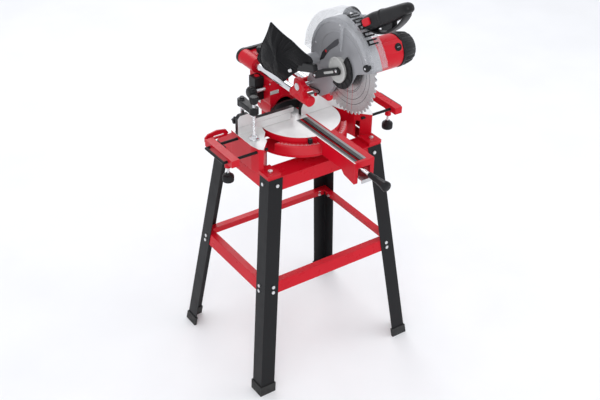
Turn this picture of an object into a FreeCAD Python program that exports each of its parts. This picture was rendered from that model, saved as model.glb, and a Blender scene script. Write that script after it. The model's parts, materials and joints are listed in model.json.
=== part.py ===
import FreeCAD, Part
import math
import os
import re

import Sketcher
from FreeCAD import Placement, Rotation, Vector

# Sliding compound mitre saw on a splayed four-leg stand.
# X runs to the right, Y to the back and Z up. The origin is on the floor, under the middle of the
# whole object; every Y below is counted from the middle of the stand, which lies centre_y behind it.

# The sizes named in LEVELS are heights above the stand's top, which lies at stand_height.
LEVELS = (
    "table_height", "pan_floor", "scale_top", "scale_bottom", "lock_rod_z", "fence_split_z", "fence_low_z",
    "fence_top_z", "column_top_z", "rail_z", "pivot_z", "blade_z", "motor_z", "port_z", "clamp_arm_z", "rod_z",
)
SIZES = {
    "centre_y": 102.8,
    "gap": 0.4,
    # stand
    "stand_height": 668.0,
    "foot_half_x": 267.5,
    "foot_half_y": 216.0,
    "top_half_x": 188.5,
    "top_half_y": 134.0,
    "leg_flange": 45.0,
    "leg_wall": 2.0,
    "sheet": 2.0,
    "cap_height": 28.0,
    "cap_wall": 3.0,
    "brace_bottom": 318.0,
    "brace_height": 34.0,
    "brace_lip": 20.0,
    "apron_height": 40.0,
    "apron_lip": 62.0,
    "side_lip": 40.0,
    "bolt_radius": 3.0,
    "bolt_head_radius": 5.5,
    "bolt_head_height": 3.5,
    "bolt_inset": 27.0,
    # saw base
    "table_height": 75.0,
    "slab": 24.0,
    "wall": 4.0,
    "wing_outer_x": 197.0,
    "wing_inner_x": 120.0,
    "wing_front_y": -97.0,
    "wing_rear_y": 42.0,
    "foot_x": 170.0,
    "front_foot_y": -112.0,
    "rear_foot_y": 104.0,
    "foot_half": 21.0,
    "foot_plate": 10.0,
    "pan_floor": 24.0,
    "hub_radius": 56.0,
    "scale_radius": 137.0,
    "scale_top": 59.0,
    "scale_bottom": 32.0,
    # turntable
    "turntable_y": 4.0,
    "turntable_radius": 117.0,
    "turntable_depth": 15.0,
    "arm_left_x": -20.0,
    "arm_right_x": 44.0,
    "arm_front_y": -285.0,
    "kerf_half": 5.0,
    "kerf_front_y": -276.0,
    "kerf_rear_y": -8.0,
    "kerf_plate_depth": 4.0,
    "lock_rod_z": 44.0,
    "lock_rod_radius": 5.0,
    "lock_handle_tip_y": -384.0,
    # fence
    "fence_face_y": 6.0,
    "fence_depth": 14.0,
    "fence_split_z": 97.0,
    "fence_low_z": 110.0,
    "fence_top_z": 132.0,
    "fence_gap_left": -16.0,
    "fence_gap_right": 10.0,
    "bridge_radius": 95.0,
    # tilt column
    "flange_radius": 45.0,
    "column_front_y": 80.0,
    "flange_rear_y": 130.0,
    "trunnion_rear_y": 150.0,
    "column_left_x": -46.0,
    "column_right_x": 16.0,
    "column_top_z": 164.0,
    "bevel_shaft_radius": 8.0,
    "rail_left_x": -45.0,
    "rail_right_x": 19.0,
    "rail_z": 188.0,
    "rail_radius": 11.0,
    "tube_radius": 22.0,
    "tube_front_y": 144.0,
    "tube_rear_y": 215.0,
    # carriage and head
    "pivot_y": -75.0,
    "pivot_z": 220.0,
    "pin_radius": 6.0,
    "arm_boss_radius": 17.0,
    "head_left_x": -18.0,
    "head_arm_right_x": -4.0,
    "head_right_x": 14.0,
    "blade_y": -205.0,
    "blade_z": 315.0,
    "blade_radius": 125.0,
    "blade_bore_radius": 15.0,
    "blade_thickness": 2.6,
    "teeth": 48,
    "guard_radius": 132.0,
    "guard_wall": 2.5,
    "shield_radius": 154.0,
    "shield_left_x": -25.0,
    "shield_right_x": 18.0,
    "cover_radius": 31.0,
    "motor_z": 325.0,
    "motor_radius": 45.0,
    "motor_start_x": 50.0,
    "motor_joint_x": 150.0,
    "motor_end_x": 198.0,
    "handle_x": 10.0,
    "handle_half": 19.0,
    "port_radius": 17.0,
    "port_y": -98.0,
    "port_z": 302.0,
    "bag_right_x": -64.0,
    "bag_thickness": 42.0,
    # clamp
    "clamp_x": -170.0,
    "clamp_post_y": 28.0,
    "clamp_screw_y": -32.0,
    "clamp_post_radius": 6.0,
    "clamp_arm_z": 153.0,
    "clamp_arm_height": 17.0,
    # extensions
    "bar_inner_x": 260.0,
    "bar_outer_x": 284.0,
    "loop_x": 299.0,
    "bar_front_y": -104.0,
    "bar_rear_y": 35.0,
    "rod_z": 63.0,
    "rod_radius": 4.0,
    "front_rod_y": -80.0,
    "rear_rod_y": 10.0,
    "rod_inner_x": 158.0,
    "ext_foot_x": 270.0,
    "ext_foot_y": -60.0,
}

DOC = FreeCAD.newDocument("mitre_saw_on_stand")
SHEET = DOC.addObject("Spreadsheet::Sheet", "Sizes")
for row, (alias, size) in enumerate(SIZES.items(), 1):
    SHEET.set(f"A{row}", alias)
    SHEET.set(f"B{row}", str(size))
    SHEET.setAlias(f"B{row}", alias)
DOC.recompute()
PROBE = DOC.addObject("Part::Vertex", "probe")

NODES = []
UP = Vector(0, 0, 1)
TURN = {"x": Rotation(Vector(0, 1, 0), 90), "y": Rotation(Vector(1, 0, 0), -90), "z": Rotation()}
PLANES = {"x": "YZ_Plane", "y": "XZ_Plane", "z": "XY_Plane"}

# Formulas that several sub-parts share.
TABLE = "table_height"
FENCE_REAR = "(fence_face_y + fence_depth)"
TURN_BOTTOM = "(table_height - turntable_depth)"


def cell(word):
    """A size's cell; a level is counted from the stand's top. Other words stay as they are."""
    if word[0] in LEVELS:
        return f"(Sizes.stand_height + Sizes.{word[0]})"
    return f"Sizes.{word[0]}" if word[0] in SIZES else word[0]


def formula(text):
    """Point every size name in a formula at its cell."""
    return re.sub(r"[a-z_]\w*", cell, str(text))


def number(text):
    """Work a formula out with the sheet's present sizes."""
    PROBE.setExpression("X", formula(text))
    PROBE.recompute()
    return PROBE.X.Value


def place(thing, x, y, z):
    """Put an object's base at three formulas, with Y counted from the stand's middle."""
    thing.setExpression("Placement.Base.x", formula(x))
    thing.setExpression("Placement.Base.y", formula(f"centre_y + ({y})"))
    thing.setExpression("Placement.Base.z", formula(z))


def block(x, y, z):
    """A box between a low and a high formula along each axis."""
    box = DOC.addObject("Part::Box", "block")
    for side, (low, high) in zip(("Length", "Width", "Height"), (x, y, z)):
        box.setExpression(side, formula(f"({high}) - ({low})"))
    place(box, x[0], y[0], z[0])
    return box


def along(axis, low, first, second):
    """Order a position along an axis and the two places across it as x, y, z."""
    across = [first, second]
    across.insert("xyz".index(axis), low)
    return across


def rod(axis, radius, low, high, first, second):
    """A round bar along an axis; first and second place it on the other two axes."""
    bar = DOC.addObject("Part::Cylinder", "rod")
    bar.Placement = Placement(Vector(), TURN[axis])
    bar.setExpression("Radius", formula(radius))
    bar.setExpression("Height", formula(f"({high}) - ({low})"))
    place(bar, *along(axis, low, first, second))
    return bar


def taper(axis, radius_low, radius_high, low, high, first, second):
    """A cone along an axis, placed as a rod is."""
    cone = DOC.addObject("Part::Cone", "taper")
    cone.Placement = Placement(Vector(), TURN[axis])
    cone.setExpression("Radius1", formula(radius_low))
    cone.setExpression("Radius2", formula(radius_high))
    cone.setExpression("Height", formula(f"({high}) - ({low})"))
    place(cone, *along(axis, low, first, second))
    return cone


def new_body(x="0", y="0", z="0", rotation=None):
    """A PartDesign body whose own Y is counted from the stand's middle."""
    body = DOC.addObject("PartDesign::Body", "body")
    body.Placement = Placement(Vector(), rotation or Rotation())
    place(body, x, y, z)
    return body


def outline(body, axis, offset, points):
    """A closed outline across an axis, each corner held by two formulas."""
    sketch = body.newObject("Sketcher::SketchObject", "outline")
    plane = next(item for item in body.Origin.OriginFeatures if item.Role == PLANES[axis])
    sketch.AttachmentSupport = [(plane, "")]
    sketch.MapMode = "FlatFace"
    sketch.setExpression("AttachmentOffset.Base.z", formula(offset))
    corners = [Vector(number(a), number(b), 0) for a, b in points]
    ends = corners[1:] + corners[:1]
    sketch.addGeometry([Part.LineSegment(start, end) for start, end in zip(corners, ends)], False)
    rules = []
    for line in range(len(points)):
        rules.append(Sketcher.Constraint("Coincident", line, 2, (line + 1) % len(points), 1))
    for line, corner in enumerate(corners):
        rules.append(Sketcher.Constraint("DistanceX", -1, 1, line, 1, corner.x))
        rules.append(Sketcher.Constraint("DistanceY", -1, 1, line, 1, corner.y))
    sketch.addConstraint(rules)
    for line, (a, b) in enumerate(points):
        sketch.setExpression(f"Constraints[{len(points) + 2 * line}]", formula(a))
        sketch.setExpression(f"Constraints[{len(points) + 2 * line + 1}]", formula(b))
    return sketch


def prism(axis, points, low, high):
    """An outline padded along an axis from low to high."""
    body = new_body()
    # the XZ plane faces -Y, so a pad across Y starts at its high end
    start = f"-({high})" if axis == "y" else low
    sketch = outline(body, axis, start, points)
    pad = body.newObject("PartDesign::Pad", "pad")
    pad.Profile = sketch
    pad.setExpression("Length", formula(f"({high}) - ({low})"))
    return body


def turned(axis, points, first, second):
    """A profile of (radius, place along the axis) turned about a line along that axis."""
    x, y, z = along(axis, "0", first, second)
    body = new_body(x, y, z, TURN[axis])
    sketch = outline(body, "y", "0", points)
    spin = body.newObject("PartDesign::Revolution", "spin")
    spin.Profile = sketch
    spin.ReferenceAxis = (sketch, ["V_Axis"])
    spin.Angle = 360
    return body


def group(*pieces):
    """Separate solids kept in one object."""
    bundle = DOC.addObject("Part::Compound", "group")
    bundle.Links = list(pieces)
    return bundle


def joined(*pieces):
    """Pieces fused into one solid."""
    fuse = DOC.addObject("Part::MultiFuse", "joined")
    fuse.Shapes = list(pieces)
    return fuse


def carved(base, *tools):
    """A base with tools cut out of it."""
    cut = DOC.addObject("Part::Cut", "carved")
    cut.Base = base
    cut.Tool = tools[0] if len(tools) == 1 else group(*tools)
    return cut


def kept(thing, label):
    """Name a finished sub-part."""
    thing.Label = label
    NODES.append(thing)
    return thing


def made(solids):
    """Solids worked out in code, as one object counted from the stand's middle."""
    feature = DOC.addObject("Part::Feature", "made")
    feature.Shape = Part.makeCompound(solids) if len(solids) > 1 else solids[0]
    feature.Placement = Placement(Vector(0, number("centre_y"), 0), Rotation())
    return feature


def rounded(body, radius, pick):
    """Fillet the edges of a body's tip that pick chooses, measured in the body's own frame."""
    DOC.recompute()
    tip = body.Tip
    names = [f"Edge{i}" for i, edge in enumerate(tip.Shape.Edges, 1) if pick(edge)]
    fillet = body.newObject("PartDesign::Fillet", "fillet")
    fillet.Base = (tip, names)
    fillet.Radius = radius
    return body


def runs_along(axis):
    """Choose the straight edges that run along an axis."""
    direction = {"x": Vector(1, 0, 0), "y": Vector(0, 1, 0), "z": UP}[axis]

    def pick(edge):
        if not isinstance(edge.Curve, Part.Line):
            return False
        return abs(abs(edge.Curve.Direction.dot(direction)) - 1) < 1e-6

    return pick


# ---------------------------------------------------------------- stand


def corner(axis, height):
    """Half the stand's outer width along an axis at a height, between floor and top."""
    return f"(foot_half_{axis} - (foot_half_{axis} - top_half_{axis}) * ({height}) / stand_height)"


def angle_section(side_x, side_y, height, grow="0"):
    """The L section of a leg at a height, grown outwards all round by a wall."""
    outer_x = f"({corner('x', height)} + {grow})"
    outer_y = f"({corner('y', height)} + {grow})"
    end = f"(leg_flange + 2 * {grow})"
    wall = f"(leg_wall + 2 * {grow})"
    points = [
        (outer_x, outer_y),
        (f"{outer_x} - {end}", outer_y),
        (f"{outer_x} - {end}", f"{outer_y} - {wall}"),
        (f"{outer_x} - {wall}", f"{outer_y} - {wall}"),
        (f"{outer_x} - {wall}", f"{outer_y} - {end}"),
        (outer_x, f"{outer_y} - {end}"),
    ]
    return [(f"{side_x} * ({x})", f"{side_y} * ({y})") for x, y in points]


def splayed(side_x, side_y, low, high, grow="0"):
    """A leg-shaped solid between two heights, padded along the leg's lean."""
    body = new_body()
    pad = body.newObject("PartDesign::Pad", "lean")
    pad.Profile = outline(body, "z", low, angle_section(side_x, side_y, low, grow))
    pad.UseCustomVector = True
    pad.AlongSketchNormal = True
    pad.setExpression("Direction.x", formula(f"{-side_x} * (foot_half_x - top_half_x) / stand_height"))
    pad.setExpression("Direction.y", formula(f"{-side_y} * (foot_half_y - top_half_y) / stand_height"))
    pad.setExpression("Direction.z", "1")
    pad.setExpression("Length", formula(f"({high}) - ({low})"))
    return body


def bolt_places():
    """Point and outward normal of every bolt through a leg: one at the apron, two at the brace."""
    height = number("stand_height")
    inset = number("bolt_inset")
    levels = ["stand_height - 22", "brace_bottom + 9", "brace_bottom + 25"]
    for level in levels:
        half = {axis: number(corner(axis, level)) for axis in "xy"}
        z = number(level)
        for side_x in (-1, 1):
            for side_y in (-1, 1):
                lean_x = number("foot_half_x - top_half_x")
                lean_y = number("foot_half_y - top_half_y")
                point = Vector(side_x * half["x"], side_y * (half["y"] - inset), z)
                yield point, Vector(side_x * height, 0, lean_x).normalize()
                point = Vector(side_x * (half["x"] - inset), side_y * half["y"], z)
                yield point, Vector(0, side_y * height, lean_y).normalize()


def hexagon(radius, height, point, direction):
    """A hexagonal prism on a point."""
    angles = [i * math.pi / 3 for i in range(7)]
    corners = [Vector(radius * math.cos(a), radius * math.sin(a), 0) for a in angles]
    solid = Part.Face(Part.makePolygon(corners)).extrude(Vector(0, 0, height))
    solid.Placement = Placement(point, Rotation(UP, direction))
    return solid


def stand():
    """Legs, foot caps, aprons, braces and their bolts."""
    stack = number("(leg_wall + sheet) * stand_height / sqrt(stand_height^2 + (foot_half_y - top_half_y)^2)")
    radius = number("bolt_radius")
    head = number("bolt_head_radius")
    head_height = number("bolt_head_height")
    places = list(bolt_places())
    bolts = []
    nuts = []
    for point, out in places:
        shank = Part.makeCylinder(radius, stack + head_height + 3, point, -out)
        bolts.append(hexagon(head, head_height, point, out).fuse(shank))
        nut = hexagon(head, head_height, point - out * (stack + head_height), out)
        nuts.append(nut.cut(Part.makeCylinder(radius, stack + head_height + 3, point, -out)))
    kept(made(bolts + nuts), "stand_bolts_and_nuts")
    holes = made([Part.makeCylinder(radius, stack + 4, point + out * 2, -out) for point, out in places])

    caps = []
    for name_y, side_y in (("front", -1), ("rear", 1)):
        for name_x, side_x in (("left", -1), ("right", 1)):
            leg = splayed(side_x, side_y, "cap_wall + 1", "stand_height - sheet")
            kept(carved(leg, holes), f"leg_{name_y}_{name_x}")
            boot = splayed(side_x, side_y, "0", "cap_height", "cap_wall")
            caps.append(carved(boot, leg))
    kept(group(*caps), "foot_caps")

    apron_low = "stand_height - apron_height"
    apron_high = "stand_height - sheet"
    brace_high = "brace_bottom + brace_height"
    for label, low, high, lip, reach in (
        ("top_aprons", apron_low, apron_high, "apron_lip", "side_lip"),
        ("lower_braces", "brace_bottom", brace_high, "brace_lip", "brace_lip"),
    ):
        # the apron's lip lies over the leg tops, the brace's lip stops at the legs' inner faces
        over = "leg_wall" if label == "top_aprons" else "0"
        short = "0" if label == "top_aprons" else "leg_wall + gap"
        long_pair = []
        side_pair = []
        for side in (-1, 1):
            wall = [
                (f"{side} * ({corner('y', low)} - leg_wall)", low),
                (f"{side} * ({corner('y', high)} - leg_wall)", high),
                (f"{side} * ({corner('y', high)} - leg_wall - sheet)", high),
                (f"{side} * ({corner('y', low)} - leg_wall - sheet)", low),
            ]
            half = f"({corner('x', high)} - leg_wall - gap)"
            web = prism("x", wall, f"-{half}", half)
            outer = f"({corner('y', f'{high} + sheet')} - leg_wall + {over})"
            span = sorted((f"{side} * {outer}", f"{side} * ({outer} - {lip})"), key=number)
            lip_half = f"({corner('x', high)} - ({short}))"
            ledge = block((f"-{lip_half}", lip_half), span, (high, f"{high} + sheet"))
            long_pair.append(carved(joined(web, ledge), holes))

            wall = [
                (f"{side} * ({corner('x', low)} - leg_wall)", low),
                (f"{side} * ({corner('x', high)} - leg_wall)", high),
                (f"{side} * ({corner('x', high)} - leg_wall - sheet)", high),
                (f"{side} * ({corner('x', low)} - leg_wall - sheet)", low),
            ]
            half = f"({corner('y', high)} - leg_wall - sheet - gap)"
            web = prism("y", wall, f"-{half}", half)
            outer_x = f"({corner('x', f'{high} + sheet')} - leg_wall + {over})"
            span = sorted((f"{side} * {outer_x}", f"{side} * ({outer_x} - {reach})"), key=number)
            ledge_half = f"({outer} - {lip} - gap)"
            ledge = block(span, (f"-{ledge_half}", ledge_half), (high, f"{high} + sheet"))
            side_pair.append(carved(joined(web, ledge), holes))
        for name, pair in (("long", long_pair), ("side", side_pair)):
            if label == "top_aprons":
                pair = [carved(piece, *mounting_holes()) for piece in pair]
            kept(group(*pair), f"{name}_{label}")


def foot_centres():
    """The four places where the saw's feet are bolted to the stand."""
    for side in (-1, 1):
        for y in ("front_foot_y", "rear_foot_y"):
            yield f"{side} * foot_x", y


def mounting_holes():
    """Bores for the bolts that hold the saw, from under the stand's top to over the feet."""
    top = "stand_height + foot_plate + 2"
    return [rod("z", "bolt_radius", "stand_height - sheet - 2", top, x, y) for x, y in foot_centres()]


# ---------------------------------------------------------------- saw base


def wing_outline(side):
    """Plan of one wing table; its inner edge follows the turntable."""
    points = [
        ("wing_outer_x", "wing_rear_y"),
        ("wing_outer_x", "-60"),
        ("wing_outer_x - 6", "wing_front_y + 10"),
        ("wing_outer_x - 16", "wing_front_y"),
        ("wing_inner_x + 26", "wing_front_y + 38"),
        ("wing_inner_x + 22", "wing_front_y + 58"),
        ("wing_inner_x + 6", "wing_front_y + 78"),
        ("wing_inner_x", "turntable_y"),
        ("wing_inner_x", "wing_rear_y"),
    ]
    return [(f"{side} * ({x})", y) for x, y in points]


def saw_base():
    """Cast base: two hollow wings on feet, a half-round pan and a hub for the turntable."""
    solids = []
    hollows = []
    for side in (-1, 1):
        solids.append(prism("z", wing_outline(side), "stand_height", TABLE))
        low, high = sorted((f"{side} * (wing_outer_x - wall)", f"{side} * (wing_inner_x + 30)"), key=number)
        hollows.append(
            block((low, high), ("-72", "wing_rear_y - wall"), ("stand_height - 1", f"{TABLE} - slab"))
        )
        span = sorted((f"{side} * (foot_x - foot_half)", f"{side} * (foot_x + foot_half)"), key=number)
        plate = ("stand_height", "stand_height + foot_plate")
        solids.append(block(span, ("front_foot_y - foot_half", "wing_front_y + 20"), plate))
        solids.append(block(span, ("wing_rear_y - wall", "rear_foot_y + foot_half"), plate))
        for rib in ("foot_x - foot_half", "foot_x + foot_half - wall"):
            low, high = sorted((f"{side} * ({rib})", f"{side} * ({rib} + wall)"), key=number)
            web = [
                ("wing_rear_y - 2", "stand_height"),
                ("wing_rear_y - 2", "stand_height + 60"),
                ("wing_rear_y + 10", "stand_height + 60"),
                ("rear_foot_y + foot_half", "stand_height + foot_plate"),
                ("rear_foot_y + foot_half", "stand_height"),
            ]
            solids.append(prism("x", web, low, high))
    pan = rod("z", "scale_radius", "pan_floor", "scale_bottom", "0", "turntable_y")
    behind = block(("-300", "300"), ("turntable_y + 8", "400"), ("pan_floor - 1", "scale_bottom + 1"))
    solids.append(carved(pan, behind))
    solids.append(rod("z", "hub_radius", "pan_floor", f"{TURN_BOTTOM} - gap", "0", "turntable_y"))
    solids.append(rod("z", "hub_radius - 20", "stand_height + foot_plate", "pan_floor", "0", "turntable_y"))
    hollows.append(rod("z", "lock_rod_radius + 3.1", "stand_height", TABLE, "0", "turntable_y"))
    hollows.extend(mounting_holes())
    for side in (-1, 1):
        reach = sorted((f"{side} * (rod_inner_x - 20)", f"{side} * (wing_outer_x + 1)"), key=number)
        for y in ("front_rod_y", "rear_rod_y"):
            hollows.append(rod("x", "rod_radius + 0.1", *reach, y, "rod_z"))
    post_place = ("clamp_x", "clamp_post_y")
    hollows.append(rod("z", "clamp_post_radius + 0.1", "stand_height", f"{TABLE} + 1", *post_place))
    kept(carved(joined(*solids), *hollows), "saw_base")


def mitre_scale():
    """Arc ring under the turntable's rim, with detent notches in its lower edge."""
    ring = turned(
        "z",
        [
            ("turntable_radius + 1.5", "scale_bottom"),
            ("scale_radius", "scale_bottom"),
            ("scale_radius", "scale_top - 3"),
            ("scale_radius - 3", "scale_top"),
            ("turntable_radius + 1.5", "scale_top"),
        ],
        "0",
        "turntable_y",
    )
    wedge = [
        ("-300", "turntable_y"),
        ("-112", "turntable_y - 66"),
        ("0", "turntable_y"),
        ("112", "turntable_y - 66"),
        ("300", "turntable_y"),
        ("300", "300"),
        ("-300", "300"),
    ]
    rest = prism("z", wedge, "scale_bottom - 1", "scale_top + 1")
    kept(carved(ring, rest), "mitre_scale")


def fences():
    """Fixed fence with its bridge behind the blade gap, the sliding left fence and its lock knob."""
    span_y = ("fence_face_y", FENCE_REAR)
    bottom = f"{TABLE} + gap"
    left = block(("-wing_outer_x", "fence_gap_left - 10"), span_y, (bottom, "fence_split_z"))
    seats = []
    for side in (-1, 1):
        span = sorted((f"{side} * (wing_inner_x + 4)", f"{side} * wing_outer_x"), key=number)
        seats.append(block(span, span_y, (TABLE, bottom)))
    right_outline = [
        ("fence_gap_right", bottom),
        ("wing_outer_x", bottom),
        ("wing_outer_x", "fence_top_z - 8"),
        ("wing_outer_x - 8", "fence_top_z"),
        ("fence_gap_right + 16", "fence_top_z"),
        ("fence_gap_right", "fence_split_z"),
    ]
    right = prism("y", right_outline, *span_y)
    ring = carved(
        rod("z", "bridge_radius", bottom, "fence_split_z + 5", "-5", "-30"),
        rod("z", "bridge_radius - 7", f"{TABLE}", "fence_top_z", "-5", "-30"),
        block(("-300", "300"), ("-300", "fence_face_y + 5"), (TABLE, "fence_top_z")),
    )
    ring = carved(ring, block(("-200", "0"), ("-300", FENCE_REAR), ("fence_split_z", "fence_top_z")))
    post_hole = rod("z", "clamp_post_radius + 0.1", TABLE, "fence_top_z + 9", "clamp_x", "clamp_post_y")
    kept(carved(joined(left, right, ring, *seats), post_hole), "fixed_fence")

    low = "fence_split_z + gap"
    slide_outline = [
        ("-wing_outer_x", low),
        ("fence_gap_left", low),
        ("fence_gap_left", "fence_low_z"),
        ("clamp_x + 24", "fence_low_z"),
        ("clamp_x + 7", "fence_top_z"),
        ("-wing_outer_x + 7", "fence_top_z"),
        ("-wing_outer_x", "fence_top_z - 8"),
    ]
    kept(prism("y", slide_outline, *span_y), "sliding_fence")

    knob_x = "-wing_outer_x + 8"
    knob_z = "fence_split_z + 10"
    stem = rod("y", "4", FENCE_REAR, f"{FENCE_REAR} + 8", knob_x, knob_z)
    grip = rod("y", "11", f"{FENCE_REAR} + 8", f"{FENCE_REAR} + 20", knob_x, knob_z)
    kept(joined(stem, grip), "fence_lock_knob")


# ---------------------------------------------------------------- turntable


def turntable():
    """Disc with the front arm, an inverted channel, and the rear lug that carries the tilt unit."""
    disc = rod("z", "turntable_radius", TURN_BOTTOM, TABLE, "0", "turntable_y")
    rim = carved(
        rod("z", "turntable_radius", "scale_top - 3", TURN_BOTTOM, "0", "turntable_y"),
        rod("z", "turntable_radius - 5", "scale_top - 4", TABLE, "0", "turntable_y"),
    )
    side = [
        ("arm_front_y", TABLE),
        ("arm_front_y", "stand_height + 11"),
        ("arm_front_y + 45", "stand_height + 19"),
        ("arm_front_y + 57", "stand_height + 30"),
        ("-scale_radius - 1", "stand_height + 30"),
        ("-scale_radius - 1", "scale_top + gap"),
        ("-turntable_radius + 14", "scale_top + gap"),
        ("-turntable_radius + 14", TABLE),
    ]
    arm = prism("x", side, "arm_left_x", "arm_right_x")
    channel = block(
        ("arm_left_x + wall", "arm_right_x - wall"),
        ("arm_front_y + wall + 4", "-turntable_radius - 14"),
        ("stand_height", f"{TABLE} - kerf_plate_depth - 3"),
    )
    mouth = block(
        ("arm_left_x + wall + 8", "arm_right_x - wall - 8"),
        ("arm_front_y - 1", "arm_front_y + wall + 5"),
        ("stand_height", "lock_rod_z + 12"),
    )
    bracket = block(
        ("arm_left_x + wall - 1", "arm_right_x - wall + 1"),
        ("arm_front_y + 26", "arm_front_y + 34"),
        ("lock_rod_z - 11", "lock_rod_z + 11"),
    )
    rod_x = "(arm_left_x + arm_right_x) / 2"
    rod_hole = rod(
        "y", "lock_rod_radius + 0.1", "arm_front_y + 20", "-scale_radius - 1", rod_x, "lock_rod_z"
    )
    neck = block(
        ("-30", "30"),
        ("turntable_y + hub_radius + 4", "turntable_y + 76"),
        ("stand_height + 12", TURN_BOTTOM),
    )
    shelf = block(
        ("-30", "30"),
        ("turntable_y + hub_radius + 4", "trunnion_rear_y"),
        ("stand_height + 12", f"{TABLE} - flange_radius - 4"),
    )
    post = block(
        ("-30", "30"),
        ("flange_rear_y + 2", "trunnion_rear_y"),
        (f"{TABLE} - flange_radius - 8", TABLE),
    )
    trunnion = rod("y", "flange_radius", "flange_rear_y + 2", "trunnion_rear_y", "0", TABLE)
    shaft_hole = rod("y", "bevel_shaft_radius", "flange_rear_y", "trunnion_rear_y + 1", "0", TABLE)
    hub_top = f"{TABLE} - kerf_plate_depth - 3"
    hub_hole = rod("z", "lock_rod_radius + 3.1", "stand_height", hub_top, "0", "turntable_y")
    recess = block(
        ("-kerf_half - 12", "kerf_half + 19"),
        ("kerf_front_y", "kerf_rear_y"),
        (f"{TABLE} - kerf_plate_depth", f"{TABLE} + 1"),
    )
    slot_low = f"{TURN_BOTTOM} - 30"
    slot = block(("-kerf_half", "kerf_half"), ("kerf_front_y", "kerf_rear_y - 12"), (slot_low, TABLE))
    flange_room = block(
        ("-turntable_radius", "turntable_radius"),
        ("column_front_y - 6", "flange_rear_y + 1.5"),
        (f"{TABLE} - flange_radius - 3", f"{TABLE} + 1"),
    )
    plan = carved(joined(disc, rim), flange_room)
    whole = joined(plan, carved(arm, channel, mouth), bracket, neck, shelf, post, trunnion)
    kept(carved(whole, rod_hole, shaft_hole, hub_hole, recess, slot), "turntable")

    plates = []
    for low, high in (("-kerf_half - 12", "-kerf_half"), ("kerf_half", "kerf_half + 19")):
        plates.append(
            block((low, high), ("kerf_front_y", "kerf_rear_y"), (f"{TABLE} - kerf_plate_depth", TABLE))
        )
    kept(group(*plates), "kerf_plates")

    pointer_y = "turntable_y - turntable_radius"
    pointer = joined(
        block(("-46", "-36"), (f"{pointer_y} - 4", f"{pointer_y} + 6"), ("scale_top + gap", f"{TABLE} - 2")),
        rod("y", "3", f"{pointer_y} - 6", f"{pointer_y} - 4", "-41", f"{TABLE} - 8"),
    )
    rim = rod("z", "turntable_radius", "scale_bottom", TABLE, "0", "turntable_y")
    kept(carved(pointer, rim), "mitre_pointer")

    lock = joined(
        rod("y", "lock_rod_radius", "arm_front_y - 26", "-scale_radius - 1", rod_x, "lock_rod_z"),
        rod("y", "8", "arm_front_y - 56", "arm_front_y - 22", rod_x, "lock_rod_z"),
        taper("y", "14", "9", "lock_handle_tip_y", "arm_front_y - 56", rod_x, "lock_rod_z"),
    )
    kept(lock, "mitre_lock_handle")

    lever_x = ("arm_left_x + wall + 12", "arm_right_x - wall - 12")
    lever = joined(
        block(lever_x, ("arm_front_y - 14", "-scale_radius - 8"), ("lock_rod_z - 21", "lock_rod_z - 18")),
        block(lever_x, ("arm_front_y - 14", "arm_front_y - 11"), ("lock_rod_z - 29", "lock_rod_z - 18")),
        rod("x", "3", *lever_x, "-scale_radius - 9", "lock_rod_z - 19.5"),
    )
    kept(lever, "detent_lever")

    bolt_top = f"{TABLE} - kerf_plate_depth - 4"
    bolt = joined(
        rod("z", "lock_rod_radius + 3", "stand_height + 4", bolt_top, "0", "turntable_y"),
        rod("z", "13", "stand_height + 3", "stand_height + foot_plate", "0", "turntable_y"),
    )
    kept(bolt, "turntable_pivot")


# ---------------------------------------------------------------- tilt unit


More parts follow.
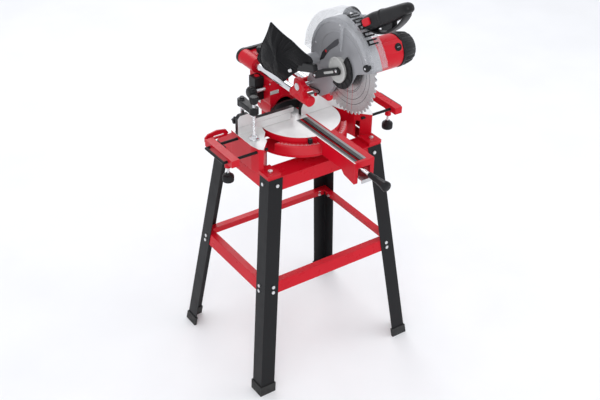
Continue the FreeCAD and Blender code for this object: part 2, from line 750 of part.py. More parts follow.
def tilt_unit():
    """Column leaning about the bevel shaft, with the rail housing on its back."""
    flange = rod("y", "flange_radius", "column_front_y", "flange_rear_y", "0", TABLE)
    column = [
        ("-flange_radius + 6", TABLE),
        ("flange_radius - 6", TABLE),
        ("flange_radius - 8", "fence_top_z - 10"),
        ("column_right_x", "fence_top_z + 4"),
        ("column_right_x", "column_top_z"),
        ("column_left_x", "column_top_z"),
        ("column_left_x", f"{TABLE} + 20"),
    ]
    body = prism("y", column, "column_front_y", "flange_rear_y")
    back = block(
        ("column_left_x", "column_right_x"),
        ("flange_rear_y", "tube_front_y"),
        (f"{TABLE} + flange_radius + 2", "column_top_z"),
    )
    saddle = block(
        ("column_left_x", "column_right_x"),
        ("tube_front_y", "tube_rear_y - 30"),
        (f"{TABLE} + flange_radius + 20", "rail_z"),
    )
    web = block(
        ("rail_left_x", "rail_right_x"),
        ("tube_front_y", "tube_rear_y"),
        ("rail_z - 10", "rail_z + 14"),
    )
    tubes = []
    bores = []
    for x in ("rail_left_x", "rail_right_x"):
        tubes.append(rod("y", "tube_radius", "tube_front_y", "tube_rear_y", x, "rail_z"))
        bores.append(rod("y", "rail_radius + 0.05", "tube_front_y - 30", "tube_rear_y + 1", x, "rail_z"))
    shaft_hole = rod("y", "bevel_shaft_radius + 0.05", "column_front_y - 1", "flange_rear_y + 1", "0", TABLE)
    knob_y = "column_front_y + 18"
    knob_z = f"{TABLE} + flange_radius + 17"
    boss = rod("x", "9", "column_left_x - 6", "column_left_x + 10", knob_y, knob_z)
    middle_x = "(rail_left_x + rail_right_x) / 2"
    middle_y = "(tube_front_y + tube_rear_y) / 2"
    screw_hole = rod("z", "5", "rail_z", "rail_z + 30", middle_x, middle_y)
    whole = joined(flange, body, back, saddle, web, boss, *tubes)
    kept(carved(whole, shaft_hole, screw_hole, *bores), "tilt_column")

    shaft = joined(
        rod("y", "bevel_shaft_radius", "column_front_y + 1", "trunnion_rear_y + 8", "0", TABLE),
        rod("y", "bevel_shaft_radius + 6", "trunnion_rear_y", "trunnion_rear_y + 8", "0", TABLE),
    )
    kept(shaft, "bevel_shaft")

    knob = joined(
        rod("x", "5", "column_left_x - 40", "column_left_x - 6", knob_y, knob_z),
        rod("x", "18", "column_left_x - 62", "column_left_x - 38", knob_y, knob_z),
    )
    kept(knob, "bevel_lock_knob")

    box_x = ("column_left_x - 30", "column_left_x")
    box_y = ("column_front_y + 32", "tube_front_y - 1")
    box_top = "column_top_z + 3"
    well = block(
        ("column_left_x - 21", "column_left_x - 9"),
        ("column_front_y + 40", "tube_front_y - 12"),
        (f"{box_top} - 4", f"{box_top} + 1"),
    )
    kept(carved(block(box_x, box_y, (f"{TABLE} + 22", box_top)), well), "laser_battery_box")
    switch = block(
        ("column_left_x - 20.7", "column_left_x - 9.3"),
        ("column_front_y + 40.3", "tube_front_y - 12.3"),
        (f"{box_top} - 1.8", f"{box_top} + 3"),
    )
    kept(switch, "laser_switch")

    lock = joined(
        rod("z", "4.9", "rail_z + 1", "rail_z + 18", middle_x, middle_y),
        rod("z", "14", "rail_z + 18", "rail_z + 36", middle_x, middle_y),
    )
    kept(lock, "rail_lock_knob")


# ---------------------------------------------------------------- carriage


def carriage():
    """Two ears on the rails that hold the chop pivot, with the rails and their end cap."""
    ear = [
        ("pivot_y + 42", "rail_z - 8"),
        ("pivot_y + 36", "rail_z - 15"),
        ("pivot_y - 34", "rail_z - 15"),
        ("pivot_y - 42", "rail_z - 4"),
        ("pivot_y - 42", "pivot_z - 6"),
        ("pivot_y - 24", "pivot_z + 22"),
        ("pivot_y + 30", "pivot_z + 22"),
        ("pivot_y + 42", "pivot_z + 6"),
    ]
    left = prism("x", ear, "rail_left_x - 15", "head_left_x - 10")
    right = prism("x", ear, "blade_thickness / 2 + 2.5", "rail_right_x + 15")
    web = block(
        ("head_left_x - 11", "blade_thickness / 2 + 3"),
        ("pivot_y + arm_boss_radius + 10", "pivot_y + 40"),
        ("rail_z - 15", "pivot_z + 6"),
    )
    bores = []
    rails = []
    for x in ("rail_left_x", "rail_right_x"):
        bores.append(rod("y", "rail_radius", "pivot_y - 36", "pivot_y + 60", x, "rail_z"))
        rails.append(rod("y", "rail_radius", "pivot_y - 36", "tube_rear_y + gap", x, "rail_z"))
    pin_hole = rod("x", "pin_radius", "rail_left_x - 16", "rail_right_x + 16", "pivot_y", "pivot_z")
    kept(carved(joined(left, right, web), pin_hole, *bores), "carriage")
    kept(group(*rails), "rails")

    cap_y = ("tube_rear_y + gap", "tube_rear_y + gap + 9")
    cap = joined(
        block(("rail_left_x", "rail_right_x"), cap_y, ("rail_z - tube_radius", "rail_z + tube_radius")),
        *[rod("y", "tube_radius + 1", *cap_y, x, "rail_z") for x in ("rail_left_x", "rail_right_x")],
    )
    kept(cap, "rail_end_cap")

    pin = joined(
        rod("x", "pin_radius", "rail_left_x - 15", "rail_right_x + 17", "pivot_y", "pivot_z"),
        rod("x", "pin_radius + 4", "rail_left_x - 18.5", "rail_left_x - 15", "pivot_y", "pivot_z"),
        rod("x", "pin_radius + 4", "rail_right_x + 15", "rail_right_x + 20", "pivot_y", "pivot_z"),
    )
    kept(pin, "chop_pivot_pin")


# ---------------------------------------------------------------- head


def arm_outline():
    """Side view of the plate from the chop pivot to the guard."""
    return [
        ("pivot_y + 12", "pivot_z - 12"),
        ("pivot_y + 15", "pivot_z + 10"),
        ("pivot_y - 12", "pivot_z + 60"),
        ("blade_y + 70", "blade_z - 30"),
        ("blade_y + 45", "blade_z - 40"),
        ("blade_y + 26", "blade_z - 62"),
        ("blade_y + 50", "blade_z - 92"),
        ("pivot_y - 44", "pivot_z - 21"),
    ]


def head():
    """Arm, upper guard with its gear case, motor, handles and the dust port."""
    boss = rod("x", "arm_boss_radius", "head_left_x", "head_arm_right_x", "pivot_y", "pivot_z")
    plate = prism("x", arm_outline(), "head_left_x", "head_arm_right_x")
    blade_room = rod("x", "blade_radius + 3", "-blade_thickness - 2", "head_right_x", "blade_y", "blade_z")
    pin_hole = rod("x", "pin_radius + 0.05", "head_left_x - 1", "head_arm_right_x + 1", "pivot_y", "pivot_z")
    kept(carved(joined(boss, plate), pin_hole, blade_room), "head_arm")

    drum = rod("x", "guard_radius", "head_left_x", "head_right_x", "blade_y", "blade_z")
    inside = rod(
        "x",
        "guard_radius - guard_wall",
        "head_left_x + guard_wall",
        "head_right_x - guard_wall",
        "blade_y",
        "blade_z",
    )
    below = [
        ("blade_y - 170", "blade_z + 58"),
        ("blade_y - 64", "blade_z + 9"),
        ("blade_y - 40", "blade_z - 34"),
        ("blade_y + 20", "blade_z - 60"),
        ("blade_y + 60", "blade_z - 40"),
        ("blade_y + 170", "blade_z - 20"),
        ("blade_y + 170", "blade_z - 190"),
        ("blade_y - 170", "blade_z - 190"),
    ]
    opening = prism("x", below, "head_left_x - 1", "head_right_x + 1")
    shell = carved(drum, inside, opening)
    gear_case = rod("x", "motor_radius + 4", "head_right_x - guard_wall", "motor_start_x", "blade_y", "motor_z")
    gear_room = rod("x", "motor_radius", "head_right_x - guard_wall - 1", "motor_start_x - 4", "blade_y", "motor_z")
    shelf = [
        ("blade_y - 74", "blade_z + 148"),
        ("blade_y - 30", "blade_z + 148"),
        ("blade_y + 70", "blade_z + 110"),
        ("blade_y + 30", "motor_z + 30"),
        ("blade_y - 30", "motor_z + 30"),
    ]
    handle_post = prism("x", shelf, "shield_right_x + 3", "handle_x + handle_half")
    solid = joined(shell, gear_case, handle_post)
    post_room = prism("x", shelf, "shield_right_x + 3", "handle_x + handle_half")
    arbor_hole = rod("x", "22", "head_right_x - 10", "motor_start_x + 1", "blade_y", "blade_z")
    arm_room = prism("x", arm_outline(), "head_left_x", "head_arm_right_x")
    kept(carved(solid, gear_room, arbor_hole, arm_room), "upper_guard")

    cover = joined(
        rod("x", "cover_radius", "head_left_x - 12", "head_left_x - 0", "blade_y", "blade_z"),
        rod("x", "cover_radius + 3", "head_left_x - 15", "head_left_x - 12", "blade_y", "blade_z"),
    )
    kept(cover, "arbor_cover")

    motor = joined(
        rod("x", "motor_radius", "motor_start_x", "motor_joint_x", "blade_y", "motor_z"),
        rod("y", "11", "blade_y - motor_radius - 3", "blade_y", "motor_joint_x - 16", "motor_z + 8"),
    )
    motor_room = rod("x", "motor_radius - 4", "motor_start_x - 1", "motor_joint_x + 1", "blade_y", "motor_z")
    kept(carved(motor, motor_room), "motor_housing")
    end_cap = turned(
        "x",
        [
            ("0", "motor_joint_x"),
            ("motor_radius + 1", "motor_joint_x"),
            ("motor_radius + 1", "motor_joint_x + 26"),
            ("motor_radius - 9", "motor_end_x"),
            ("0", "motor_end_x"),
        ],
        "blade_y",
        "motor_z",
    )
    end_room = rod("x", "motor_radius - 13", "motor_joint_x - 1", "motor_end_x - 5", "blade_y", "motor_z")
    kept(carved(end_cap, end_room), "motor_end_cap")
    core = joined(
        rod("x", "motor_radius - 5", "motor_start_x + 8", "motor_joint_x - 20", "blade_y", "motor_z"),
        rod("x", "6", "motor_start_x - 4", "motor_end_x - 5", "blade_y", "motor_z"),
    )
    kept(core, "motor_armature")
    handles(post_room)

    port = carved(
        joined(
            rod("x", "port_radius", "bag_right_x", "head_left_x - gap", "port_y", "port_z"),
            rod("x", "port_radius + 3", "bag_right_x", "bag_right_x + 6", "port_y", "port_z"),
        ),
        rod("x", "port_radius - 3", "bag_right_x - 1", "head_left_x", "port_y", "port_z"),
    )
    kept(port, "dust_port")
    bag = [
        ("blade_y + 221", "blade_z + 62"),
        ("blade_y + 263", "blade_z - 23"),
        ("blade_y + 292", "blade_z - 80"),
        ("blade_y + 159", "blade_z - 88"),
        ("blade_y + 135", "blade_z - 64"),
        ("blade_y + 95", "blade_z - 32"),
        ("blade_y + 45", "blade_z + 17"),
    ]
    kept(prism("x", bag, "bag_right_x - bag_thickness", "bag_right_x"), "dust_bag")


def handles(post_room):
    """Grip with its trigger and lock-off button, and the carry handle behind it."""
    low = "handle_x - handle_half"
    high = "handle_x + handle_half"
    grip_outline = [
        ("blade_y - 34", "blade_z + 136"),
        ("blade_y - 82", "blade_z + 179"),
        ("blade_y - 200", "blade_z + 246"),
        ("blade_y - 225", "blade_z + 238"),
        ("blade_y - 214", "blade_z + 218"),
        ("blade_y - 183", "blade_z + 190"),
        ("blade_y - 74", "blade_z + 124"),
    ]
    grip = rounded(prism("x", grip_outline, low, high), 8, lambda edge: not runs_along("x")(edge))
    shield_room = rod("x", "shield_radius + 1", "shield_left_x - 10", "shield_right_x + 3", "blade_y", "blade_z")
    trigger_well = block(
        ("handle_x - 8", "handle_x + 8"),
        ("blade_y - 165", "blade_y - 125"),
        ("blade_z + 140", "blade_z + 196"),
    )
    button = ("blade_y - 76", "blade_z + 150")
    button_well = rod("x", "9.3", f"{low} - 1", f"{low} + 8", *button)
    kept(carved(grip, shield_room, post_room, trigger_well, button_well), "handle")
    trigger = [
        ("blade_y - 164.6", "blade_z + 191"),
        ("blade_y - 164.6", "blade_z + 168"),
        ("blade_y - 150", "blade_z + 156"),
        ("blade_y - 125.4", "blade_z + 148"),
        ("blade_y - 125.4", "blade_z + 170"),
    ]
    kept(prism("x", trigger, "handle_x - 7.6", "handle_x + 7.6"), "trigger")
    kept(rod("x", "9", f"{low} - 3.5", f"{low} + 5", *button), "lock_off_button")

    arch_y = "blade_y + 34"
    arch_z = "blade_z + 106"
    arch = carved(
        rod("x", "36", "handle_x + handle_half + gap", "handle_x + handle_half + 20", arch_y, arch_z),
        rod("x", "23", "handle_x + handle_half", "handle_x + handle_half + 21", arch_y, arch_z),
        block(
            ("handle_x", "handle_x + 60"),
            (f"{arch_y} - 40", f"{arch_y} + 40"),
            (f"{arch_z} - 40", f"{arch_z} - 4"),
        ),
    )
    foot = block(
        ("handle_x + handle_half + gap", "handle_x + handle_half + 20"),
        (f"{arch_y} - 36", f"{arch_y} + 36"),
        (f"{arch_z} - 8", f"{arch_z} - 1"),
    )
    kept(joined(arch, foot), "carry_handle")


# ---------------------------------------------------------------- blade and its moving guard


def saw_blade():
    """Toothed disc and the arbor with its flanges."""
    radius = number("blade_radius")
    count = int(number("teeth"))
    step = 2 * math.pi / count
    thickness = number("blade_thickness")
    centre = Vector(-thickness / 2, number("blade_y"), number("blade_z"))
    points = []
    for tooth in range(count):
        start = tooth * step
        for share, depth in ((0.0, 0.0), (0.28, 1.6), (0.5, 9.0), (0.72, 8.5)):
            turn = start + share * step
            points.append(centre + Vector(0, math.cos(turn), math.sin(turn)) * (radius - depth))
    disc = Part.Face(Part.makePolygon(points + points[:1])).extrude(Vector(thickness, 0, 0))
    bore = Part.makeCylinder(number("blade_bore_radius"), thickness, centre, Vector(1, 0, 0))
    kept(made([disc.cut(bore)]), "saw_blade")

    arbor = joined(
        rod("x", "blade_bore_radius", "-12", "motor_start_x - 12", "blade_y", "blade_z"),
        rod("x", "blade_bore_radius + 6", "-blade_thickness / 2 - 4", "-blade_thickness / 2", "blade_y", "blade_z"),
        rod("x", "blade_bore_radius + 6", "blade_thickness / 2", "blade_thickness / 2 + 4", "blade_y", "blade_z"),
    )
    kept(arbor, "arbor")


def blade_guard():
    """See-through guard: a rim over the upper guard, side walls and a hub on the arbor cover."""
    place_yz = ("blade_y", "blade_z")
    rim = carved(
        rod("x", "shield_radius", "shield_left_x", "shield_right_x", *place_yz),
        rod("x", "shield_radius - guard_wall", "shield_left_x + guard_wall", "shield_right_x - guard_wall", *place_yz),
        rod("x", "guard_radius - 12", "shield_left_x - 1", "shield_left_x + guard_wall + 1", *place_yz),
        rod("x", "guard_radius + 3", "shield_right_x - guard_wall - 1", "shield_right_x + 1", *place_yz),
    )
    reach = 200
    front_drop = reach * math.tan(math.radians(20))
    cut = [
        ("blade_y - 200", f"blade_z + {front_drop:.3f}"),
        ("blade_y", "blade_z"),
        ("blade_y + 200", "blade_z + 8"),
        ("blade_y + 200", "blade_z - 200"),
        ("blade_y - 200", "blade_z - 200"),
    ]
    sector = carved(rim, prism("x", cut, "shield_left_x - 1", "shield_right_x + 1"))
    span = ("shield_left_x", "shield_left_x + guard_wall")
    spoke = block(span, ("blade_y - 2", "blade_y + 34"), ("blade_z + cover_radius", "blade_z + guard_radius - 6"))
    hub = rod("x", "cover_radius + 14", *span, *place_yz)
    hub_hole = rod("x", "cover_radius + 0.1", "shield_left_x - 1", "shield_left_x + guard_wall + 1", *place_yz)
    kept(carved(joined(sector, spoke, hub), hub_hole), "blade_guard")

    knob_y = "blade_y - 126"
    knob_z = "blade_z + 57"
    knob = joined(
        rod("x", "5", "shield_left_x - 6", "shield_left_x", knob_y, knob_z),
        rod("x", "9.5", "shield_left_x - 18", "shield_left_x - 6", knob_y, knob_z),
    )
    kept(knob, "guard_lift_knob")

    link_x = ("head_left_x - 23", "head_left_x - 16")
    link = prism(
        "x",
        [
            ("blade_y + 92", "blade_z - 52"),
            ("blade_y + 90", "blade_z - 38"),
            ("blade_y + 50", "blade_z - 16"),
            ("blade_y - 8", "blade_z + 12"),
            ("blade_y - 20", "blade_z + 8"),
            ("blade_y - 20", "blade_z - 4"),
            ("blade_y + 40", "blade_z - 34"),
            ("blade_y + 76", "blade_z - 54"),
        ],
        *link_x,
    )
    pivot = rod("x", "4", link_x[1], "head_left_x", "blade_y + 82", "blade_z - 46")
    kept(joined(link, pivot), "guard_link")


# ---------------------------------------------------------------- clamp and extensions


def clamp():
    """Post, arm, screw with knob and pressure foot."""
    arm_top = "clamp_arm_z + clamp_arm_height"
    post = rod("z", "clamp_post_radius", "stand_height + 20", f"{arm_top} + 6", "clamp_x", "clamp_post_y")
    kept(post, "clamp_post")
    arm = joined(
        block(
            ("clamp_x - 8", "clamp_x + 8"),
            ("clamp_screw_y", "clamp_post_y"),
            ("clamp_arm_z", "clamp_arm_z + clamp_arm_height"),
        ),
        rod("z", "13", "clamp_arm_z - 3", "clamp_arm_z + clamp_arm_height", "clamp_x", "clamp_post_y"),
        rod("z", "13", "clamp_arm_z - 3", "clamp_arm_z + clamp_arm_height", "clamp_x", "clamp_screw_y"),
    )
    arm = carved(
        arm,
        rod("z", "clamp_post_radius + 0.05", "clamp_arm_z - 4", "clamp_arm_z + 40", "clamp_x", "clamp_post_y"),
        rod("z", "5.05", "clamp_arm_z - 4", "clamp_arm_z + 40", "clamp_x", "clamp_screw_y"),
    )
    kept(arm, "clamp_arm")
    screw = joined(
        rod("z", "5", f"{TABLE} + 8", f"{arm_top} + 14", "clamp_x", "clamp_screw_y"),
        taper("z", "10", "14", f"{arm_top} + 12", f"{arm_top} + 32", "clamp_x", "clamp_screw_y"),
    )
    kept(screw, "clamp_screw")
    foot = carved(
        joined(
            rod("z", "15", f"{TABLE} + gap", f"{TABLE} + 4", "clamp_x", "clamp_screw_y"),
            taper("z", "13", "8", f"{TABLE} + 4", f"{TABLE} + 12", "clamp_x", "clamp_screw_y"),
        ),
        rod("z", "5.05", f"{TABLE} + 8", f"{TABLE} + 13", "clamp_x", "clamp_screw_y"),
    )
    kept(foot, "clamp_foot")


def extensions():
    """On each side a sliding pair of rods closed by a loop, with a red bar and a screw foot."""
    bar_z = (f"{TABLE} - 20", TABLE)
    boss_low = f"{TABLE} - 42"
    for name, side in (("left", -1), ("right", 1)):

        def span(low, high, side=side):
            return sorted((f"{side} * ({low})", f"{side} * ({high})"), key=number)

        radius = "rod_radius"
        bend = "(rod_radius * 3)"
        pieces = [
            rod("x", radius, *span("rod_inner_x", f"loop_x - {bend}"), y, "rod_z")
            for y in ("front_rod_y", "rear_rod_y")
        ]
        pieces.append(
            rod("y", radius, "front_rod_y", "rear_rod_y", f"{side} * (loop_x - rod_radius)", "rod_z")
        )
        for y in ("front_rod_y", "rear_rod_y"):
            pieces.append(rod("x", radius, *span(f"loop_x - {bend} - 1", "loop_x - rod_radius"), y, "rod_z"))
            ball = DOC.addObject("Part::Sphere", "bend")
            ball.setExpression("Radius", formula("rod_radius"))
            place(ball, f"{side} * (loop_x - rod_radius)", y, "rod_z")
            pieces.append(ball)
        kept(joined(*pieces), f"extension_rods_{name}")

        foot_x = f"{side} * ext_foot_x"
        bar = joined(
            block(span("bar_inner_x", "bar_outer_x"), ("bar_front_y", "bar_rear_y"), bar_z),
            rod("z", "9", boss_low, bar_z[0], foot_x, "ext_foot_y"),
        )
        holes = [
            rod("x", radius, *span("bar_inner_x - 1", "bar_outer_x + 1"), y, "rod_z")
            for y in ("front_rod_y", "rear_rod_y")
        ]
        holes.append(rod("z", "4.05", f"{boss_low} - 1", f"{TABLE} - 17", foot_x, "ext_foot_y"))
        kept(carved(bar, *holes), f"extension_bar_{name}")

        foot = joined(
            rod("z", "4", f"{TABLE} - 64", f"{TABLE} - 20", foot_x, "ext_foot_y"),
            rod("z", "16", f"{TABLE} - 86", f"{TABLE} - 66", foot_x, "ext_foot_y"),
            taper("z", "16", "7", f"{TABLE} - 66", f"{TABLE} - 60", foot_x, "ext_foot_y"),
        )
        kept(foot, f"extension_foot_{name}")

    stop_z = f"{TABLE} - 10"
    plate = [
        ("-bar_outer_x + 6", f"{stop_z} - 6"),
        ("-bar_inner_x + 50", f"{stop_z} - 4"),
        ("-bar_inner_x + 55", f"{stop_z} + 4"),
        ("-bar_inner_x + 48", f"{stop_z} + 15"),
        ("-bar_inner_x + 20", f"{stop_z} + 20"),
        ("-bar_inner_x - 8", f"{stop_z} + 15"),
        ("-bar_outer_x + 6", f"{stop_z} + 6"),
    ]
    slot = block(
        ("-bar_inner_x + 8", "-bar_inner_x + 42"),
        ("bar_rear_y + 8", "bar_rear_y + 15"),
        (f"{stop_z} + 1", f"{stop_z} + 6"),
    )
    pivot = rod("y", "4", "bar_rear_y + gap", "bar_rear_y + 17", "-bar_inner_x - 8", stop_z)
    stop = joined(carved(prism("y", plate, "bar_rear_y + 9", "bar_rear_y + 14"), slot), pivot)
    kept(stop, "length_stop")


def mounting_bolts():
    """Bolts that hold the saw's feet to the stand."""
    bolts = []
    for x, y in foot_centres():
        bolts.append(
            joined(
                rod("z", "bolt_radius", "stand_height - sheet - 2", "stand_height + foot_plate", x, y),
                rod("z", "7", "stand_height + foot_plate", "stand_height + foot_plate + 5", x, y),
            )
        )
    kept(group(*bolts), "saw_mounting_bolts")


def write_parts():
    """Recompute, refuse anything broken and write one STEP file per sub-part."""
    DOC.recompute()
    for thing in DOC.Objects:
        if "Invalid" in thing.State or "Error" in thing.State:
            raise ValueError(f"{thing.Label} ({thing.Name}) did not compute: {thing.State}")
    os.makedirs("parts", exist_ok=True)
    for node in NODES:
        shape = node.Shape
        if shape.isNull() or not shape.isValid() or not shape.Solids:
            raise ValueError(f"{node.Label} has no valid solid")
    for node in NODES:
        node.Shape.exportStep(f"parts/{node.Label}.step")


stand()
saw_base()
mitre_scale()
fences()
turntable()
tilt_unit()
carriage()
head()
saw_blade()
blade_guard()
clamp()
extensions()
mounting_bolts()
write_parts()
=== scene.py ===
import json
import math

import bmesh
import bpy
from mathutils import Matrix, Vector


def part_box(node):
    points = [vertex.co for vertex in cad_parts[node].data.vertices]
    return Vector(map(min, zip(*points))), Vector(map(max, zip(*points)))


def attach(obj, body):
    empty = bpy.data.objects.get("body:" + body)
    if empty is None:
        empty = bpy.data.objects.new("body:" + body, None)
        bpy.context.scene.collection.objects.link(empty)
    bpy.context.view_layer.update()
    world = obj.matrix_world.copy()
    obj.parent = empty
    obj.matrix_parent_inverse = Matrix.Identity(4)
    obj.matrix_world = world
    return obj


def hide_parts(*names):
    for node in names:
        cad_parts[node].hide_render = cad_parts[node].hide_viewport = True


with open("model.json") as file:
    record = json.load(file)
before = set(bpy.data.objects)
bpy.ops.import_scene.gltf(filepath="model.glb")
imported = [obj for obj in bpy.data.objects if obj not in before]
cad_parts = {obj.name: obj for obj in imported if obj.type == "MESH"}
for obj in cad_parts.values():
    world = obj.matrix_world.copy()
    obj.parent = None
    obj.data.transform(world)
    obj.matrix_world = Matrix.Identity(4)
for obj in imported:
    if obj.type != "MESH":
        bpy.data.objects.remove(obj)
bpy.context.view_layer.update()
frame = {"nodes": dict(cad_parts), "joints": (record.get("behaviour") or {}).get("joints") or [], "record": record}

# Looks of the mitre saw on its stand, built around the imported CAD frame. Metres everywhere.

JOINTS = {joint["name"]: joint for joint in frame["joints"]}
scene = bpy.context.scene
scene.view_settings.view_transform = "Standard"


def middle(node):
    """Centre of a CAD node's box."""
    low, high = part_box(node)
    return (low + high) / 2


def pivot(joint):
    """Point on a hinge's axis."""
    return Vector(JOINTS[joint]["pos_m"])


BLADE = middle("saw_blade")
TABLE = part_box("kerf_plates")[1].z
TURN = pivot("mitre_turn")
TOP_FACE = TABLE - 0.0006
RED_LINE = 0.006

# ---------------------------------------------------------------- camera


def camera():
    """The photograph's viewpoint: 35 degrees to the left, 33 degrees above, with a slight roll."""
    azimuth = math.radians(35.02)
    height = math.radians(33.0)
    roll = math.radians(1.2)
    spot = Vector((-1.5152, -2.0705, 2.189))
    forward = Vector(
        (math.sin(azimuth) * math.cos(height), math.cos(azimuth) * math.cos(height), -math.sin(height))
    )
    level = Vector((math.cos(azimuth), -math.sin(azimuth), 0))
    lift = level.cross(forward)
    right = level * math.cos(roll) + lift * math.sin(roll)
    up = lift * math.cos(roll) - level * math.sin(roll)
    data = bpy.data.cameras.new("camera")
    data.sensor_width = 36
    data.lens = 64.67
    data.clip_end = 60
    view = bpy.data.objects.new("camera", data)
    turn = Matrix((right, up, -forward)).transposed()
    view.matrix_world = Matrix.Translation(spot) @ turn.to_4x4()
    scene.collection.objects.link(view)
    scene.camera = view


camera()

# ---------------------------------------------------------------- materials


class Graph:
    """A material's node tree with short calls for what the finishes share."""

    def __init__(self, name):
        self.material = bpy.data.materials.new(name)
        self.material.use_nodes = True
        self.tree = self.material.node_tree
        self.tree.nodes.clear()
        out = self.tree.nodes.new("ShaderNodeOutputMaterial")
        self.shader = self.tree.nodes.new("ShaderNodeBsdfPrincipled")
        self.tree.links.new(self.shader.outputs[0], out.inputs[0])
        self.place = self.tree.nodes.new("ShaderNodeTexCoord").outputs["Object"]
        split = self.add("SeparateXYZ", {0: self.place})
        self.x, self.y, self.z = split.outputs

    def feed(self, socket, value):
        """Link a socket, or set it to a plain value."""
        if isinstance(value, bpy.types.NodeSocket):
            self.tree.links.new(value, socket)
        else:
            socket.default_value = value

    def add(self, kind, inputs=None, **settings):
        """A new node with its settings and its inputs."""
        node = self.tree.nodes.new(f"ShaderNode{kind}")
        for key, value in settings.items():
            setattr(node, key, value)
        for key, value in (inputs or {}).items():
            self.feed(node.inputs[key], value)
        return node

    def set(self, **values):
        """Values or links on the shader's own sockets."""
        for key, value in values.items():
            self.feed(self.shader.inputs[key.replace("_", " ").title()], value)

    def math(self, operation, a, b=0.0):
        return self.add("Math", {0: a, 1: b}, operation=operation).outputs[0]

    def gloss(self, level):
        """Strength of the clear reflection."""
        self.shader.inputs["Specular IOR Level"].default_value = level

    def above(self, a, b):
        return self.math("GREATER_THAN", a, b)

    def below(self, a, b):
        return self.math("LESS_THAN", a, b)

    def both(self, a, b):
        return self.math("MULTIPLY", a, b)

    def either(self, a, b):
        return self.math("MAXIMUM", a, b)

    def inverse(self, a):
        return self.math("SUBTRACT", 1.0, a)

    def span(self, value, low, high):
        """1 between low and high, otherwise 0."""
        return self.both(self.above(value, low), self.below(value, high))

    def noise(self, scale, detail=3.0, rough=0.5, where=None):
        node = self.add("TexNoise", {"Scale": scale, "Detail": detail, "Roughness": rough})
        self.feed(node.inputs["Vector"], where or self.place)
        return node.outputs["Fac"]

    def wave(self, scale, direction, distortion=0.0):
        """Even bands across one direction."""
        inputs = {"Vector": self.place, "Scale": scale, "Distortion": distortion}
        return self.add("TexWave", inputs, bands_direction=direction).outputs["Fac"]

    def remap(self, value, low, high, start=0.3, end=0.7):
        node = self.add("MapRange", {0: value, 1: start, 2: end, 3: low, 4: high})
        return node.outputs[0]

    def blend(self, fac, a, b):
        """Mix two colours."""
        node = self.add("Mix", {0: fac}, data_type="RGBA")
        self.feed(node.inputs[6], a)
        self.feed(node.inputs[7], b)
        return node.outputs[2]

    def distance(self, a, a0, b, b0):
        """Distance from a line through (a0, b0)."""
        da = self.math("SUBTRACT", a, a0)
        db = self.math("SUBTRACT", b, b0)
        return self.math("SQRT", self.math("ADD", self.both(da, da), self.both(db, db)))

    def edges(self, radius=0.0012):
        """Rounded normal, and a mask of the edges it rounds."""
        soft = self.add("Bevel", {"Radius": radius}, samples=4).outputs[0]
        sharp = self.add("NewGeometry").outputs["Normal"]
        dot = self.add("VectorMath", {0: soft, 1: sharp}, operation="DOT_PRODUCT").outputs["Value"]
        return soft, self.remap(self.inverse(dot), 0.0, 1.0, 0.02, 0.2)

    def bump(self, height, strength, distance, normal=None):
        node = self.add("Bump", {"Strength": strength, "Distance": distance, "Height": height})
        if normal:
            self.feed(node.inputs["Normal"], normal)
        return node.outputs[0]


def colour(red, green, blue):
    return (red, green, blue, 1.0)


RED = colour(0.57, 0.004, 0.016)
BLACK = colour(0.011, 0.011, 0.012)
GREY = colour(0.36, 0.36, 0.375)
BARE = colour(0.83, 0.83, 0.82)
STEEL = colour(0.56, 0.56, 0.57)
WHITE = colour(0.8, 0.8, 0.8)


def scaled(tint, factor):
    return tuple(channel * factor for channel in tint[:3]) + (1.0,)


def mottled(graph, tint):
    """Paint whose shade varies a little from place to place."""
    patch = graph.remap(graph.noise(7.0, 5.0), 0.0, 1.0)
    return graph.blend(patch, scaled(tint, 0.86), scaled(tint, 1.08))


def worn_and_highlit_paint(graph, tint, edge, least, most):
    """Mottled paint that is paler along its edges: partly edge wear, partly a painted highlight."""
    pale = tuple(0.55 * channel + 0.45 * 0.6 for channel in tint[:3]) + (1.0,)
    # Paler edges, broken up by noise: edge wear together with a painted highlight.
    worn_and_lit = graph.both(edge, graph.remap(graph.noise(60.0, 4.0), least, most))
    return graph.blend(worn_and_lit, mottled(graph, tint), pale)


def coat(name, tint, rough=0.34, peel=0.05, wear_and_highlight=0.35, grain=420.0, metallic=0.0, shine=0.35):
    """Paint, powder coat or moulded plastic: mottled colour, edges paler from wear and a painted highlight, and a
    fine grain.
    """
    graph = Graph(name)
    soft, edge = graph.edges()
    graph.set(base_color=worn_and_highlit_paint(graph, tint, edge, 0.15 * wear_and_highlight, wear_and_highlight))
    graph.set(roughness=graph.remap(graph.noise(28.0, 4.0), rough - 0.06, rough + 0.08))
    graph.set(metallic=metallic)
    graph.gloss(shine)
    graph.set(normal=graph.bump(graph.noise(grain, 3.0), peel, 0.0006, soft))
    return graph.material


def metal(name, tint, rough, lines=0.12):
    """Bare metal with drawn scratches along one direction and a painted highlight along its edges."""
    graph = Graph(name)
    soft, edge = graph.edges(0.0007)
    stretch = graph.add("Mapping", {0: graph.place, 3: (1.0, 60.0, 1.0)}).outputs[0]
    scratch = graph.noise(90.0, 4.0, 0.6, stretch)
    stain = graph.remap(graph.noise(14.0, 4.0), 0.0, 1.0)
    base = graph.blend(stain, scaled(tint, 0.88), scaled(tint, 1.06))
    # Edges lightened towards a brighter tint: painted highlight.
    graph.set(base_color=graph.blend(graph.both(edge, 0.5), base, scaled(tint, 1.35)))
    graph.set(metallic=1.0, roughness=graph.remap(scratch, rough - 0.07, rough + 0.12))
    graph.set(normal=graph.bump(scratch, lines, 0.0003, soft))
    return graph.material


